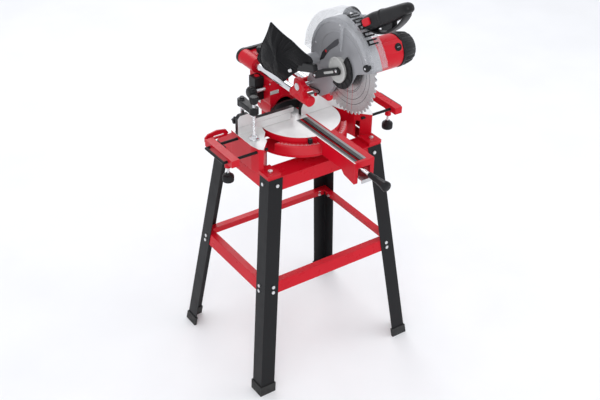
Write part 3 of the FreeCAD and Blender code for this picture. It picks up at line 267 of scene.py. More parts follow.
def two_finish(name, tint, bare_mask, rib_mask=None, wear_and_highlight=0.35):
    """A painted casting whose machined faces are bare; the masks are functions of the graph."""
    graph = Graph(name)
    soft, edge = graph.edges()
    bare = bare_mask(graph)
    # Paint paler along its edges: edge wear and a painted highlight.
    paint = worn_and_highlit_paint(graph, tint, edge, 0.1, wear_and_highlight)
    milled = graph.wave(170.0, "Y", 0.6)
    cut = graph.blend(graph.remap(graph.noise(11.0, 5.0), 0.0, 1.0), scaled(BARE, 0.84), BARE)
    graph.set(base_color=graph.blend(bare, paint, cut))
    graph.set(metallic=graph.both(bare, 0.6))
    smooth = graph.remap(graph.noise(28.0, 4.0), 0.28, 0.4)
    graph.set(roughness=graph.math("ADD", smooth, graph.both(bare, 0.06)))
    height = graph.math("ADD", graph.both(graph.noise(400.0), 0.5), graph.both(milled, bare))
    if rib_mask:
        ribs = graph.both(graph.wave(62.0, "Y"), rib_mask(graph))
        height = graph.math("ADD", height, graph.both(ribs, 9.0))
    graph.set(normal=graph.bump(height, 0.12, 0.0006, soft))
    graph.gloss(0.22)
    return graph.material


def base_mask(graph):
    """Bare where the top face is."""
    return graph.above(graph.z, TOP_FACE)


def turntable_mask(graph):
    """The round plate and the arm's left edge are bare, apart from a red line right of the plates."""
    top = graph.above(graph.z, TOP_FACE)
    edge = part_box("kerf_plates")
    disc = graph.below(graph.distance(graph.x, TURN.x, graph.y, TURN.y), 0.1166)
    line = graph.inverse(graph.span(graph.x, edge[1].x, edge[1].x + RED_LINE))
    strip = graph.below(graph.x, edge[0].x)
    return graph.both(top, graph.either(graph.both(disc, line), strip))


def turntable_ribs(graph):
    """Hatched right edge of the arm."""
    top = graph.above(graph.z, TOP_FACE)
    arm = graph.above(graph.distance(graph.x, TURN.x, graph.y, TURN.y), 0.118)
    return graph.both(graph.both(top, arm), graph.above(graph.x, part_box("kerf_plates")[1].x + RED_LINE))


def front_mask(node):
    """Bare where a plate's front face is."""
    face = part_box(node)[0].y

    def mask(graph):
        return graph.below(graph.y, face + 0.0004)

    return mask


def kerf_material():
    """Black kerf plates with a pale strip at the left and a ribbed grey band at the right."""
    graph = Graph("kerf_plate_black")
    soft = graph.edges(0.0005)[0]
    low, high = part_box("kerf_plates")
    pale = graph.either(graph.below(graph.x, low.x + 0.004), graph.above(graph.x, high.x - 0.008))
    ribs = graph.wave(85.0, "Y")
    grey = graph.blend(ribs, colour(0.1, 0.1, 0.1), colour(0.42, 0.42, 0.42))
    black = graph.blend(graph.remap(graph.noise(30.0), 0, 1), BLACK, colour(0.03, 0.03, 0.031))
    graph.set(base_color=graph.blend(pale, black, grey))
    graph.set(roughness=graph.remap(graph.noise(40.0), 0.35, 0.5))
    graph.set(normal=graph.bump(graph.both(ribs, pale), 0.4, 0.0006, soft))
    return graph.material


def scale_material():
    """Red ring with fine pale ticks, longer every fifth one, and a painted highlight along its edges."""
    graph = Graph("scale_red")
    soft, edge = graph.edges()
    dx = graph.math("SUBTRACT", graph.x, TURN.x)
    dy = graph.math("SUBTRACT", TURN.y, graph.y)
    degrees = graph.both(graph.math("ARCTAN2", dx, dy), 180 / math.pi)
    fine = graph.below(graph.math("PINGPONG", degrees, 0.5), 0.11)
    coarse = graph.below(graph.math("PINGPONG", degrees, 2.5), 0.2)
    radius = graph.distance(graph.x, TURN.x, graph.y, TURN.y)
    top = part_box("mitre_scale")[1].z
    level = graph.above(graph.z, top - 0.0008)
    short = graph.both(fine, graph.span(radius, 0.1275, 0.1335))
    long = graph.both(coarse, graph.span(radius, 0.1235, 0.1335))
    tick = graph.both(level, graph.either(short, long))
    # Edges blended towards pale red: painted highlight.
    paint = graph.blend(graph.both(edge, 0.3), mottled(graph, RED), colour(0.8, 0.3, 0.3))
    graph.set(base_color=graph.blend(tick, paint, WHITE), roughness=graph.remap(graph.noise(28.0), 0.3, 0.42))
    graph.set(normal=graph.bump(graph.noise(420.0), 0.05, 0.0006, soft))
    return graph.material


def blade_material():
    """Ground steel disc: turned scratches, dark rings and two red printed stripes."""
    graph = Graph("saw_blade_steel")
    soft = graph.edges(0.0004)[0]
    dy = graph.math("SUBTRACT", graph.y, BLADE.y)
    dz = graph.math("SUBTRACT", graph.z, BLADE.z)
    radius = graph.distance(graph.y, BLADE.y, graph.z, BLADE.z)
    angle = graph.math("ARCTAN2", dy, dz)
    polar = graph.add("CombineXYZ", {0: graph.both(radius, 900.0), 1: graph.both(angle, 2.0)})
    turned = graph.noise(2.2, 4.0, 0.6, polar.outputs[0])
    sheen = graph.math("ABSOLUTE", graph.math("SINE", graph.both(angle, 3.0)))
    base = graph.blend(turned, colour(0.3, 0.3, 0.305), colour(0.62, 0.62, 0.62))
    base = graph.blend(graph.both(sheen, 0.25), base, colour(0.75, 0.75, 0.75))
    rings = None
    for ring in (0.062, 0.0655, 0.084, 0.0975):
        band = graph.span(radius, ring - 0.0007, ring + 0.0007)
        rings = band if rings is None else graph.either(rings, band)
    base = graph.blend(graph.both(rings, 0.85), base, colour(0.04, 0.04, 0.042))
    print_red = graph.either(graph.span(dy, -0.031, -0.0298), graph.span(dy, -0.011, -0.0098))
    print_red = graph.both(print_red, graph.both(graph.span(radius, 0.045, 0.11), graph.below(dz, 0.0)))
    base = graph.blend(print_red, base, colour(0.5, 0.01, 0.02))
    graph.set(base_color=base, metallic=graph.inverse(graph.both(print_red, 0.9)))
    graph.set(roughness=graph.remap(turned, 0.2, 0.42), normal=graph.bump(turned, 0.1, 0.0003, soft))
    return graph.material


def clear_material():
    """Clear polycarbonate with faint scratches and haze, and edges painted darker and more opaque: painted shade
    for how the clear edges bend light.
    """
    graph = Graph("guard_clear")
    soft, edge = graph.edges(0.001)
    haze = graph.noise(24.0, 5.0)
    scratch = graph.noise(160.0, 2.0, 0.7, graph.add("Mapping", {0: graph.place, 3: (1, 8, 1)}).outputs[0])
    tint = graph.blend(graph.remap(haze, 0, 1), colour(0.5, 0.52, 0.54), colour(0.72, 0.73, 0.75))
    # Edges darkened and made more opaque: painted shade standing in for the refraction at the clear plastic's
    # edges.
    graph.set(base_color=graph.blend(edge, tint, colour(0.2, 0.21, 0.22)))
    graph.set(alpha=graph.either(graph.remap(haze, 0.1, 0.2), graph.both(edge, 0.55)))
    graph.set(roughness=graph.remap(scratch, 0.04, 0.16), normal=graph.bump(scratch, 0.04, 0.0003, soft))
    return graph.material


def cloth_material():
    """Black woven polyester: crossed threads, mottling and a soft sheen."""
    graph = Graph("bag_weave")
    weave = graph.both(graph.wave(330.0, "Y", 0.8), graph.wave(330.0, "Z", 0.8))
    patch = graph.remap(graph.noise(16.0, 5.0), 0, 1)
    base = graph.blend(patch, colour(0.0035, 0.0035, 0.004), colour(0.009, 0.009, 0.010))
    base = graph.blend(graph.both(weave, 0.5), base, colour(0.016, 0.016, 0.017))
    graph.set(base_color=base, roughness=graph.remap(patch, 0.6, 0.78, 0, 1))
    graph.set(sheen_weight=0.03, sheen_roughness=0.4)
    graph.gloss(0.14)
    stretch = graph.add("Mapping", {0: graph.place, 2: (0.6, 0, 0), 3: (1, 0.35, 1)}).outputs[0]
    folds = graph.bump(graph.noise(34.0, 3.0, 0.5, stretch), 0.5, 0.006)
    graph.set(normal=graph.bump(weave, 0.35, 0.0005, folds))
    return graph.material


def rubber_material():
    """Dull black rubber with a little dust."""
    graph = Graph("rubber_black")
    soft = graph.edges()[0]
    dust = graph.remap(graph.noise(35.0, 5.0), 0.0, 0.6)
    graph.set(base_color=graph.blend(dust, colour(0.012, 0.012, 0.012), colour(0.035, 0.034, 0.033)))
    graph.set(roughness=graph.remap(graph.noise(60.0), 0.6, 0.8))
    graph.set(normal=graph.bump(graph.noise(500.0), 0.12, 0.0006, soft))
    return graph.material


def copper_material():
    """Laminated core with copper windings."""
    graph = Graph("armature_copper")
    rings = graph.wave(250.0, "X")
    graph.set(base_color=graph.blend(rings, colour(0.12, 0.1, 0.09), colour(0.55, 0.25, 0.1)))
    graph.set(metallic=0.9, roughness=graph.remap(graph.noise(50.0), 0.3, 0.5))
    graph.set(normal=graph.bump(rings, 0.3, 0.0005))
    return graph.material


MATERIALS = {
    "black_paint": coat("powder_black", BLACK, 0.36, 0.06, 0.1, shine=0.16),
    "red_paint": coat("powder_red", RED, 0.3, 0.05, 0.12, shine=0.2),
    "red_casting": coat("casting_red", RED, 0.3, 0.1, 0.12, 240.0, shine=0.2),
    "grey_casting": coat("casting_grey", GREY, 0.36, 0.12, 0.4, 240.0, 0.35),
    "cover_grey": coat("cover_grey", colour(0.5, 0.5, 0.48), 0.4, 0.1, 0.4, 260.0, 0.2),
    "black_plastic": coat("plastic_black", BLACK, 0.34, 0.18, 0.08, 520.0, shine=0.22),
    # Dark grey plate colour: painted shade for the guard's recess.
    "recess_shade": coat("recess_shade", colour(0.07, 0.07, 0.076), 0.4, 0.1, 0.2, 300.0, shine=0.3),
    "red_plastic": coat("plastic_red", colour(0.6, 0.006, 0.018), 0.3, 0.05, 0.1, 520.0, shine=0.22),
    "white_plastic": coat("plastic_white", WHITE, 0.4, 0.05, 0.1, 520.0),
    "zinc": metal("zinc_plate", colour(0.72, 0.72, 0.73), 0.26),
    "chrome": metal("polished_steel", colour(0.74, 0.74, 0.75), 0.14, 0.04),
    "steel": metal("ground_steel", STEEL, 0.3),
    "bare": metal("machined_aluminium", BARE, 0.34),
    "rubber": rubber_material(),
    "clear_plastic": clear_material(),
    "bag_cloth": cloth_material(),
    "copper_iron": copper_material(),
    "saw_base": two_finish("base_casting", RED, base_mask),
    "turntable": two_finish("turntable_casting", RED, turntable_mask, turntable_ribs),
    "fixed_fence": two_finish("fence_casting", BLACK, front_mask("fixed_fence"), wear_and_highlight=0.2),
    "sliding_fence": two_finish("slide_casting", BLACK, front_mask("sliding_fence"), wear_and_highlight=0.2),
    "kerf_plates": kerf_material(),
    "mitre_scale": scale_material(),
    "saw_blade": blade_material(),
}
SLOTS = {entry["node"]: entry["material_slot"] for entry in frame["record"]["subparts"]}
FINISH = {
    "bare_casting": "bare",
    "blade_steel": "steel",
    "rails": "chrome",
    "clamp_post": "chrome",
    "arbor_cover": "cover_grey",
    "chop_pivot_pin": "zinc",
    "dust_port": "grey_casting",
}
for node, thing in frame["nodes"].items():
    key = node if node in MATERIALS or node in FINISH else SLOTS[node]
    thing.data.materials.clear()
    thing.data.materials.append(MATERIALS[FINISH.get(key, key)])

# ---------------------------------------------------------------- building blocks

AXES = {"x": 0, "y": 1, "z": 2}


def piece_from(name, mesh_data, finish, body, node=None, angle=35):
    """Turn a bmesh into a piece that rides on a body. Its material is its finish."""
    bmesh.ops.remove_doubles(mesh_data, verts=mesh_data.verts, dist=0.00002)
    bmesh.ops.recalc_face_normals(mesh_data, faces=mesh_data.faces)
    mesh = bpy.data.meshes.new(name)
    mesh_data.to_mesh(mesh)
    mesh_data.free()
    mesh.shade_smooth()
    mesh.set_sharp_from_angle(angle=math.radians(angle))
    mesh.materials.append(MATERIALS[finish])
    thing = bpy.data.objects.new(name, mesh)
    scene.collection.objects.link(thing)
    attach(thing, body)
    if node:
        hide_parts(node)
    return thing


def round_edges(thing, width, segments):
    """Rounded edges on a finished piece."""
    modifier = thing.modifiers.new("rounding", "BEVEL")
    modifier.width = width
    modifier.segments = segments
    modifier.limit_method = "ANGLE"
    return thing


def subdivide(thing):
    """One level of subdivision."""
    modifier = thing.modifiers.new("smooth", "SUBSURF")
    modifier.levels = modifier.render_levels = 1
    return thing


def ring_point(axis, centre, radius, turn, along):
    """A point on a circle round an axis; along is counted on that axis."""
    flat = {
        "x": (0.0, math.cos(turn), math.sin(turn)),
        "y": (math.sin(turn), 0.0, math.cos(turn)),
        "z": (math.cos(turn), math.sin(turn), 0.0),
    }[axis]
    point = Vector(centre) + Vector(flat) * radius
    point[AXES[axis]] = along
    return point


def skin(mesh_data, rings):
    """Join rings of points with faces, and cap both ends."""
    rows = [[mesh_data.verts.new(point) for point in ring] for ring in rings]
    count = len(rows[0])
    for first, second in zip(rows, rows[1:]):
        for step in range(count):
            after = (step + 1) % count
            mesh_data.faces.new((first[step], first[after], second[after], second[step]))
    mesh_data.faces.new(rows[0][::-1])
    mesh_data.faces.new(rows[-1])


def lathe(name, axis, centre, profile, finish, body, node=None, steps=48, flutes=0, depth=0.0,
          at=0.0):
    """A turned piece. A profile entry is (radius, place along the axis from at[, fluted])."""
    rings = []
    for radius, along, *fluted in profile:
        ring = []
        for step in range(steps):
            turn = 2 * math.pi * step / steps
            wave = 1 - depth * (0.5 - 0.5 * math.cos(flutes * turn)) if fluted else 1
            ring.append(ring_point(axis, centre, max(radius, 0.00001) * wave, turn, at + along))
        rings.append(ring)
    mesh_data = bmesh.new()
    skin(mesh_data, rings)
    return piece_from(name, mesh_data, finish, body, node)


def thread(radius, low, high, pitch=0.0015, deep=0.0006):
    """Profile of a screw's thread."""
    count = int(abs(high - low) / pitch)
    step = (high - low) / count
    points = [(0.0, low)]
    for turn in range(count):
        points.append((radius - deep, low + step * turn))
        points.append((radius, low + step * (turn + 0.5)))
    return points + [(radius - deep, high), (0.0, high)]


def slab(name, axis, outline, low, high, finish, body, node=None, bevel=0.001, segments=2):
    """A flat piece with rounded edges. The outline's points are (y, z), (x, z) or (x, y)."""
    rings = []
    for along in (low, high):
        ring = []
        for first, second in outline:
            point = [first, second]
            point.insert(AXES[axis], along)
            ring.append(Vector(point))
        rings.append(ring)
    mesh_data = bmesh.new()
    skin(mesh_data, rings)
    return round_edges(piece_from(name, mesh_data, finish, body, node), bevel, segments)


def brick(name, low, high, finish, body, bevel):
    """A block with rounded edges between two corners."""
    outline = [(low[0], low[1]), (high[0], low[1]), (high[0], high[1]), (low[0], high[1])]
    return slab(name, "z", outline, low[2], high[2], finish, body, bevel=bevel)


def rope(name, points, radius, finish, body, cyclic=False):
    """A round bar along a smooth line."""
    data = bpy.data.curves.new(name, "CURVE")
    data.dimensions = "3D"
    data.bevel_depth = radius
    data.bevel_resolution = 6
    data.use_fill_caps = True
    line = data.splines.new("NURBS")
    line.points.add(len(points) - 1)
    for knot, point in zip(line.points, points):
        knot.co = (*point, 1.0)
    line.use_cyclic_u = cyclic
    line.use_endpoint_u = not cyclic
    line.order_u = 3
    line.resolution_u = 8
    data.materials.append(MATERIALS[finish])
    thing = bpy.data.objects.new(name, data)
    scene.collection.objects.link(thing)
    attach(thing, body)
    return thing


def loft(name, sections, finish, body, node=None):
    """A smooth skin through closed sections."""
    mesh_data = bmesh.new()
    skin(mesh_data, sections)
    return subdivide(piece_from(name, mesh_data, finish, body, node, 60))


def superellipse(count, power):
    """Points of a rounded square with half sides of 1."""
    points = []
    for step in range(count):
        turn = 2 * math.pi * step / count
        c, s = math.cos(turn), math.sin(turn)
        points.append((math.copysign(abs(c) ** (2 / power), c), math.copysign(abs(s) ** (2 / power), s)))
    return points


def arc_band(name, radii, x_span, turns, finish, body, steps=64):
    """Part of a flat ring round the blade's axis; turns are degrees from the front, upwards."""
    mesh_data = bmesh.new()
    sections = []
    for step in range(steps + 1):
        turn = math.radians(turns[0] + (turns[1] - turns[0]) * step / steps)
        ring = []
        for radius, x in ((radii[0], 0), (radii[1], 0), (radii[1], 1), (radii[0], 1)):
            y = BLADE.y - radius * math.cos(turn)
            ring.append(Vector((x_span[x], y, BLADE.z + radius * math.sin(turn))))
        sections.append(ring)
    skin(mesh_data, sections)
    return round_edges(piece_from(name, mesh_data, finish, body), 0.0004, 2)


# ---------------------------------------------------------------- knobs, feet and screws


def extension_feet():
    for side in ("left", "right"):
        node = f"extension_foot_{side}"
        low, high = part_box(node)
        centre = middle(node)
        wheel = [
            (0.0, 0.0), (0.011, 0.0), (0.0148, 0.001), (0.016, 0.003, True), (0.016, 0.016, True),
            (0.0145, 0.019), (0.0085, 0.021), (0.0065, 0.0265), (0.0, 0.0265),
        ]
        lathe(f"foot_wheel_{side}", "z", centre, wheel, "black_plastic", node, node, 96, 24, 0.07, at=low.z)
        stud = thread(0.0039, low.z + 0.025, high.z)
        lathe(f"foot_stud_{side}", "z", centre, stud, "zinc", node, steps=20)


def bevel_knob():
    low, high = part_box("bevel_lock_knob")
    centre = middle("bevel_lock_knob")
    face = low.x
    profile = [
        (0.0, 0.0), (0.011, 0.0002), (0.0155, 0.003, True), (0.018, 0.008, True), (0.018, 0.018, True),
        (0.0155, 0.0225, True), (0.008, 0.024), (0.0, 0.024),
    ]
    lathe("bevel_knob", "x", centre, profile, "black_plastic", "bevel_lock_knob", "bevel_lock_knob", 112,
          14, 0.08, at=face)
    lathe("bevel_knob_screw", "x", centre, thread(0.0049, face + 0.02, high.x), "zinc", "bevel_lock_knob",
          steps=20)


def rail_knob():
    low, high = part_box("rail_lock_knob")
    centre = middle("rail_lock_knob")
    top = high.z
    profile = [
        (0.0, 0.0), (0.009, 0.0), (0.0125, -0.002, True), (0.014, -0.006, True), (0.0135, -0.0145, True),
        (0.010, -0.018), (0.0, -0.018),
    ]
    lathe("rail_knob", "z", centre, profile, "black_plastic", "rail_lock_knob", "rail_lock_knob", 96, 6,
          0.16, at=top)
    lathe("rail_knob_screw", "z", centre, thread(0.0048, low.z, top - 0.016), "zinc", "rail_lock_knob",
          steps=20)


def clamp_parts():
    low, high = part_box("clamp_screw")
    centre = middle("clamp_screw")
    top = high.z
    knob = [
        (0.0, 0.0), (0.010, 0.0), (0.0132, -0.002, True), (0.014, -0.006, True), (0.0118, -0.014, True),
        (0.0098, -0.0195), (0.0, -0.02),
    ]
    lathe("clamp_knob", "z", centre, knob, "black_plastic", "clamp_screw", "clamp_screw", 96, 8, 0.14,
          at=top)
    lathe("clamp_spindle", "z", centre, thread(0.0049, low.z, top - 0.018), "chrome", "clamp_screw",
          steps=24)
    low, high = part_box("clamp_foot")
    centre = middle("clamp_foot")
    foot = [
        (0.0, low.z), (0.0142, low.z), (0.015, low.z + 0.0008), (0.015, low.z + 0.0028),
        (0.0138, low.z + 0.0042), (0.0105, low.z + 0.006), (0.0085, low.z + 0.011), (0.0068, high.z),
        (0.0, high.z),
    ]
    lathe("clamp_pad", "z", centre, foot, "chrome", "clamp_foot", "clamp_foot")
    low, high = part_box("clamp_arm")
    post = pivot("clamp_swing")
    screw = pivot("clamp_screw_turn")
    outline = []
    for centre, start in ((post, 0.0), (screw, math.pi)):
        for step in range(13):
            turn = start + math.pi * step / 12
            outline.append((centre.x + 0.0125 * math.cos(turn), centre.y + 0.0125 * math.sin(turn)))
    slab("clamp_beam", "z", outline, low.z + 0.003, high.z - 0.0004, "black_plastic", "clamp_arm",
         "clamp_arm", 0.0025, 3)
    for label, centre in (("post", post), ("screw", screw)):
        collar = [
            (0.0065, low.z), (0.0115, low.z), (0.013, low.z + 0.0015), (0.013, high.z - 0.001),
            (0.0118, high.z), (0.0065, high.z),
        ]
        lathe(f"clamp_collar_{label}", "z", centre, collar, "black_plastic", "clamp_arm")
    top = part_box("clamp_post")[1].z
    cap = [(0.0, 0.0005), (0.0055, 0.0003), (0.0068, -0.001), (0.0068, -0.0045), (0.0, -0.0045)]
    lathe("clamp_post_cap", "z", middle("clamp_post"), cap, "black_plastic", "clamp_post", at=top)


def mitre_handle():
    low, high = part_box("mitre_lock_handle")
    centre = middle("mitre_lock_handle")
    tip = low.y
    grip = [
        (0.0, 0.0), (0.0105, 0.0004), (0.0133, 0.002), (0.014, 0.005), (0.0136, 0.010), (0.0112, 0.022),
        (0.0094, 0.036), (0.0088, 0.047), (0.0094, 0.050), (0.0094, 0.053), (0.008, 0.054), (0.008, 0.074),
        (0.0062, 0.0765), (0.0, 0.077),
    ]
    lathe("mitre_grip", "y", centre, grip, "black_plastic", "mitre_lock_handle", "mitre_lock_handle", 64,
          at=tip)
    shaft = thread(0.0049, tip + 0.074, tip + 0.135)
    lathe("mitre_thread", "y", centre, shaft, "chrome", "mitre_lock_handle", steps=20)
    rear = [
        (0.0, tip + 0.135), (0.0049, tip + 0.135), (0.0049, high.y - 0.002), (0.004, high.y), (0.0, high.y),
    ]
    lathe("mitre_shaft", "y", centre, rear, "steel", "mitre_lock_handle", steps=24)


def small_knobs():
    low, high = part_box("fence_lock_knob")
    centre = middle("fence_lock_knob")
    knob = [
        (0.0, low.y), (0.004, low.y), (0.004, low.y + 0.008), (0.008, low.y + 0.0085),
        (0.0105, low.y + 0.010, True), (0.011, low.y + 0.014, True), (0.0098, low.y + 0.0185, True),
        (0.006, high.y), (0.0, high.y),
    ]
    lathe("fence_knob", "y", centre, knob, "black_plastic", "fence_lock_knob", "fence_lock_knob", 80, 5,
          0.28)
    low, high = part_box("guard_lift_knob")
    centre = middle("guard_lift_knob")
    knob = [
        (0.0, high.x), (0.005, high.x), (0.005, low.x + 0.0115), (0.0085, low.x + 0.011),
        (0.0095, low.x + 0.0085), (0.0092, low.x + 0.004), (0.0075, low.x + 0.0014),
        (0.0042, low.x + 0.0008), (0.0042, low.x + 0.0022), (0.0, low.x + 0.0022),
    ]
    lathe("guard_knob", "x", centre, knob, "black_plastic", "blade_guard", "guard_lift_knob")
    pin = [(0.0, 0.0006), (0.0024, 0.001), (0.0036, 0.0022), (0.0, 0.0026)]
    lathe("guard_knob_pin", "x", centre, pin, "chrome", "blade_guard", steps=24, at=low.x)


def carriage():
    """Lobed casting: two cheeks round the chop pivot, a sleeve over each rail and a rear web."""
    low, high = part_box("carriage")
    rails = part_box("rails")
    centre = pivot("chop")
    sleeve = 0.015
    lobes = ((-52, 0.0215, 0.36), (-128, 0.0215, 0.36), (172, 0.012, 0.3), (52, 0.004, 0.4))
    outline = []
    for step in range(72):
        turn = 2 * math.pi * step / 72
        radius = 0.0205
        for lobe, tall, wide in lobes:
            away = math.remainder(turn - math.radians(lobe), 2 * math.pi)
            radius += tall * math.exp(-((away / wide) ** 2))
        outline.append((centre.y + radius * math.cos(turn), centre.z + radius * math.sin(turn)))
    for side, first, last in (("left", low.x, low.x + 0.015), ("right", high.x - 0.015, high.x)):
        cheek = slab(f"carriage_cheek_{side}", "x", outline, first, last, "red_casting", "carriage",
                     "carriage" if side == "left" else None, 0.003, 4)
        cheek.data.shade_smooth()
        middle_x = first + sleeve if side == "left" else last - sleeve
        tube = [
            (0.0, low.y), (sleeve - 0.003, low.y), (sleeve, low.y + 0.003), (sleeve, high.y - 0.003),
            (sleeve - 0.003, high.y), (0.0, high.y),
        ]
        spot = Vector((middle_x, 0, (rails[0].z + rails[1].z) / 2))
        lathe(f"rail_sleeve_{side}", "y", spot, tube, "red_casting", "carriage")
        seal = [(0.0, 0.0), (sleeve - 0.002, 0.0), (sleeve - 0.0024, 0.0008), (0.0, 0.0008)]
        lathe(f"rail_seal_{side}", "y", spot, seal, "rubber", "carriage", at=high.y)
    brick("carriage_web", (low.x + 0.014, high.y - 0.012, low.z + 0.002),
          (high.x - 0.014, high.y - 0.003, centre.z), "red_casting", "carriage", 0.002)
    for side, face, out in (("left", low.x, -1), ("right", high.x, 1)):
        boss = [(0.0, 0.0), (0.0165, 0.0), (0.0155, 0.0012 * out), (0.0, 0.0012 * out)]
        lathe(f"pivot_boss_{side}", "x", centre, boss, "red_casting", "carriage", at=face)
        nut = [
            (0.0, 0.0), (0.0105, 0.0), (0.0105, 0.0028 * out), (0.0095, 0.0036 * out),
            (0.004, 0.0036 * out), (0.0035, 0.0024 * out), (0.0, 0.0024 * out),
        ]
        lathe(f"pivot_nut_{side}", "x", centre, nut, "zinc", "carriage", steps=6, at=face)


def column_details():
    """Flange rim, blank metal plate and screws on the column's front."""
    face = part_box("tilt_column")[0].y
    axis = pivot("bevel_tilt")
    rim = [(0.0, 0.0), (0.038, 0.0), (0.0374, -0.0005), (0.031, -0.0007), (0.0295, 0.0), (0.0, 0.0)]
    lathe("flange_rim", "y", axis, rim, "red_casting", "tilt_unit", steps=96, at=face)
    brick("column_plate", (-0.046, face - 0.0007, axis.z + 0.0475),
          (-0.017, face + 0.0005, axis.z + 0.0585), "cover_grey", "tilt_unit", 0.0003)
    for label, x, z in (("left", -0.0435, 0.053), ("right", -0.0195, 0.053), ("top", -0.047, 0.082)):
        head = [(0.0, -0.0022), (0.0014, -0.002), (0.0022, -0.001), (0.0022, 0.0), (0.0, 0.0)]
        lathe(f"column_screw_{label}", "y", Vector((x, face, axis.z + z)), head, "zinc", "tilt_unit",
              steps=20, at=face)


# ---------------------------------------------------------------- head


def motor():
    """Red motor shell with a waist groove, a brush cap and a ribbed black end cap."""
    low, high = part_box("motor_housing")
    cap_low, cap_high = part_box("motor_end_cap")
    axis = middle("motor_armature")
    radius = (high.z - low.z) / 2
    start, joint = low.x, high.x
    shell = [
        (radius - 0.0035, start), (radius - 0.001, start), (radius, start + 0.001), (radius, start + 0.018),
        (radius - 0.0012, start + 0.0185), (radius - 0.0012, start + 0.0205), (radius, start + 0.021),
        (radius, joint - 0.006), (radius - 0.0014, joint - 0.0055), (radius - 0.0014, joint),
        (radius - 0.0035, joint), (radius - 0.0035, start),
    ]
    rings_closed("motor_shell", axis, shell, "red_plastic", "head", "motor_housing")
    face = axis.y - radius
    ridge = [
        (face - 0.0012, axis.z - 0.004), (face - 0.0012, axis.z + 0.0185), (face + 0.008, axis.z + 0.027),
        (face + 0.008, axis.z - 0.0125),
    ]
    turned = [
        slab("motor_ridge", "x", ridge, start + 0.004, joint - 0.001, "red_plastic", "head", bevel=0.0015,
             segments=3)
    ]
    brush = Vector((joint - 0.016, axis.y, axis.z + 0.0073))
    rim = [
        (0.0, -0.0005), (0.0105, -0.0005), (0.0105, -0.0024), (0.0096, -0.003), (0.0078, -0.003),
        (0.0074, -0.0014), (0.0, -0.0014),
    ]
    turned.append(lathe("brush_cap_rim", "y", brush, rim, "black_plastic", "head", at=face))
    plug = [(0.0, -0.001), (0.0068, -0.001), (0.0062, -0.0027), (0.0, -0.003)]
    turned.append(lathe("brush_cap", "y", brush, plug, "black_plastic", "head", at=face))
    turned.append(
        brick("brush_cap_slot", (brush.x - 0.0045, face - 0.0032, brush.z - 0.0008),
              (brush.x + 0.0045, face - 0.0022, brush.z + 0.0008), "grey_casting", "head", 0.0002)
    )
    lift = Matrix.Translation(axis) @ Matrix.Rotation(math.radians(-27), 4, "X") @ Matrix.Translation(-axis)
    for thing in turned:
        thing.data.transform(lift)
    outer = (cap_high.z - cap_low.z) / 2
    end = cap_high.x
    cap = [
        (0.0, cap_low.x), (outer - 0.002, cap_low.x), (outer, cap_low.x + 0.001),
        (outer, cap_low.x + 0.008), (outer - 0.001, cap_low.x + 0.009, True),
        (outer - 0.001, cap_low.x + 0.024, True), (outer - 0.005, end - 0.008, True),
        (outer - 0.009, end - 0.002, True), (outer - 0.012, end), (outer - 0.02, end),
        (outer - 0.021, end - 0.002), (0.008, end - 0.002), (0.007, end), (0.0, end),
    ]
    lathe("motor_cap", "x", axis, cap, "black_plastic", "head", "motor_end_cap", 144, 18, 0.09)


def rings_closed(name, centre, profile, finish, body, node, steps=72):
    """A turned tube round the X axis whose profile closes on itself."""
    mesh_data = bmesh.new()
    rows = []
    for radius, along in profile[:-1]:
        turns = [2 * math.pi * step / steps for step in range(steps)]
        rows.append([mesh_data.verts.new(ring_point("x", centre, radius, turn, along)) for turn in turns])
    for first, second in zip(rows, rows[1:] + rows[:1]):
        for step in range(steps):
            after = (step + 1) % steps
            mesh_data.faces.new((first[step], first[after], second[after], second[step]))
    return piece_from(name, mesh_data, finish, body, node)


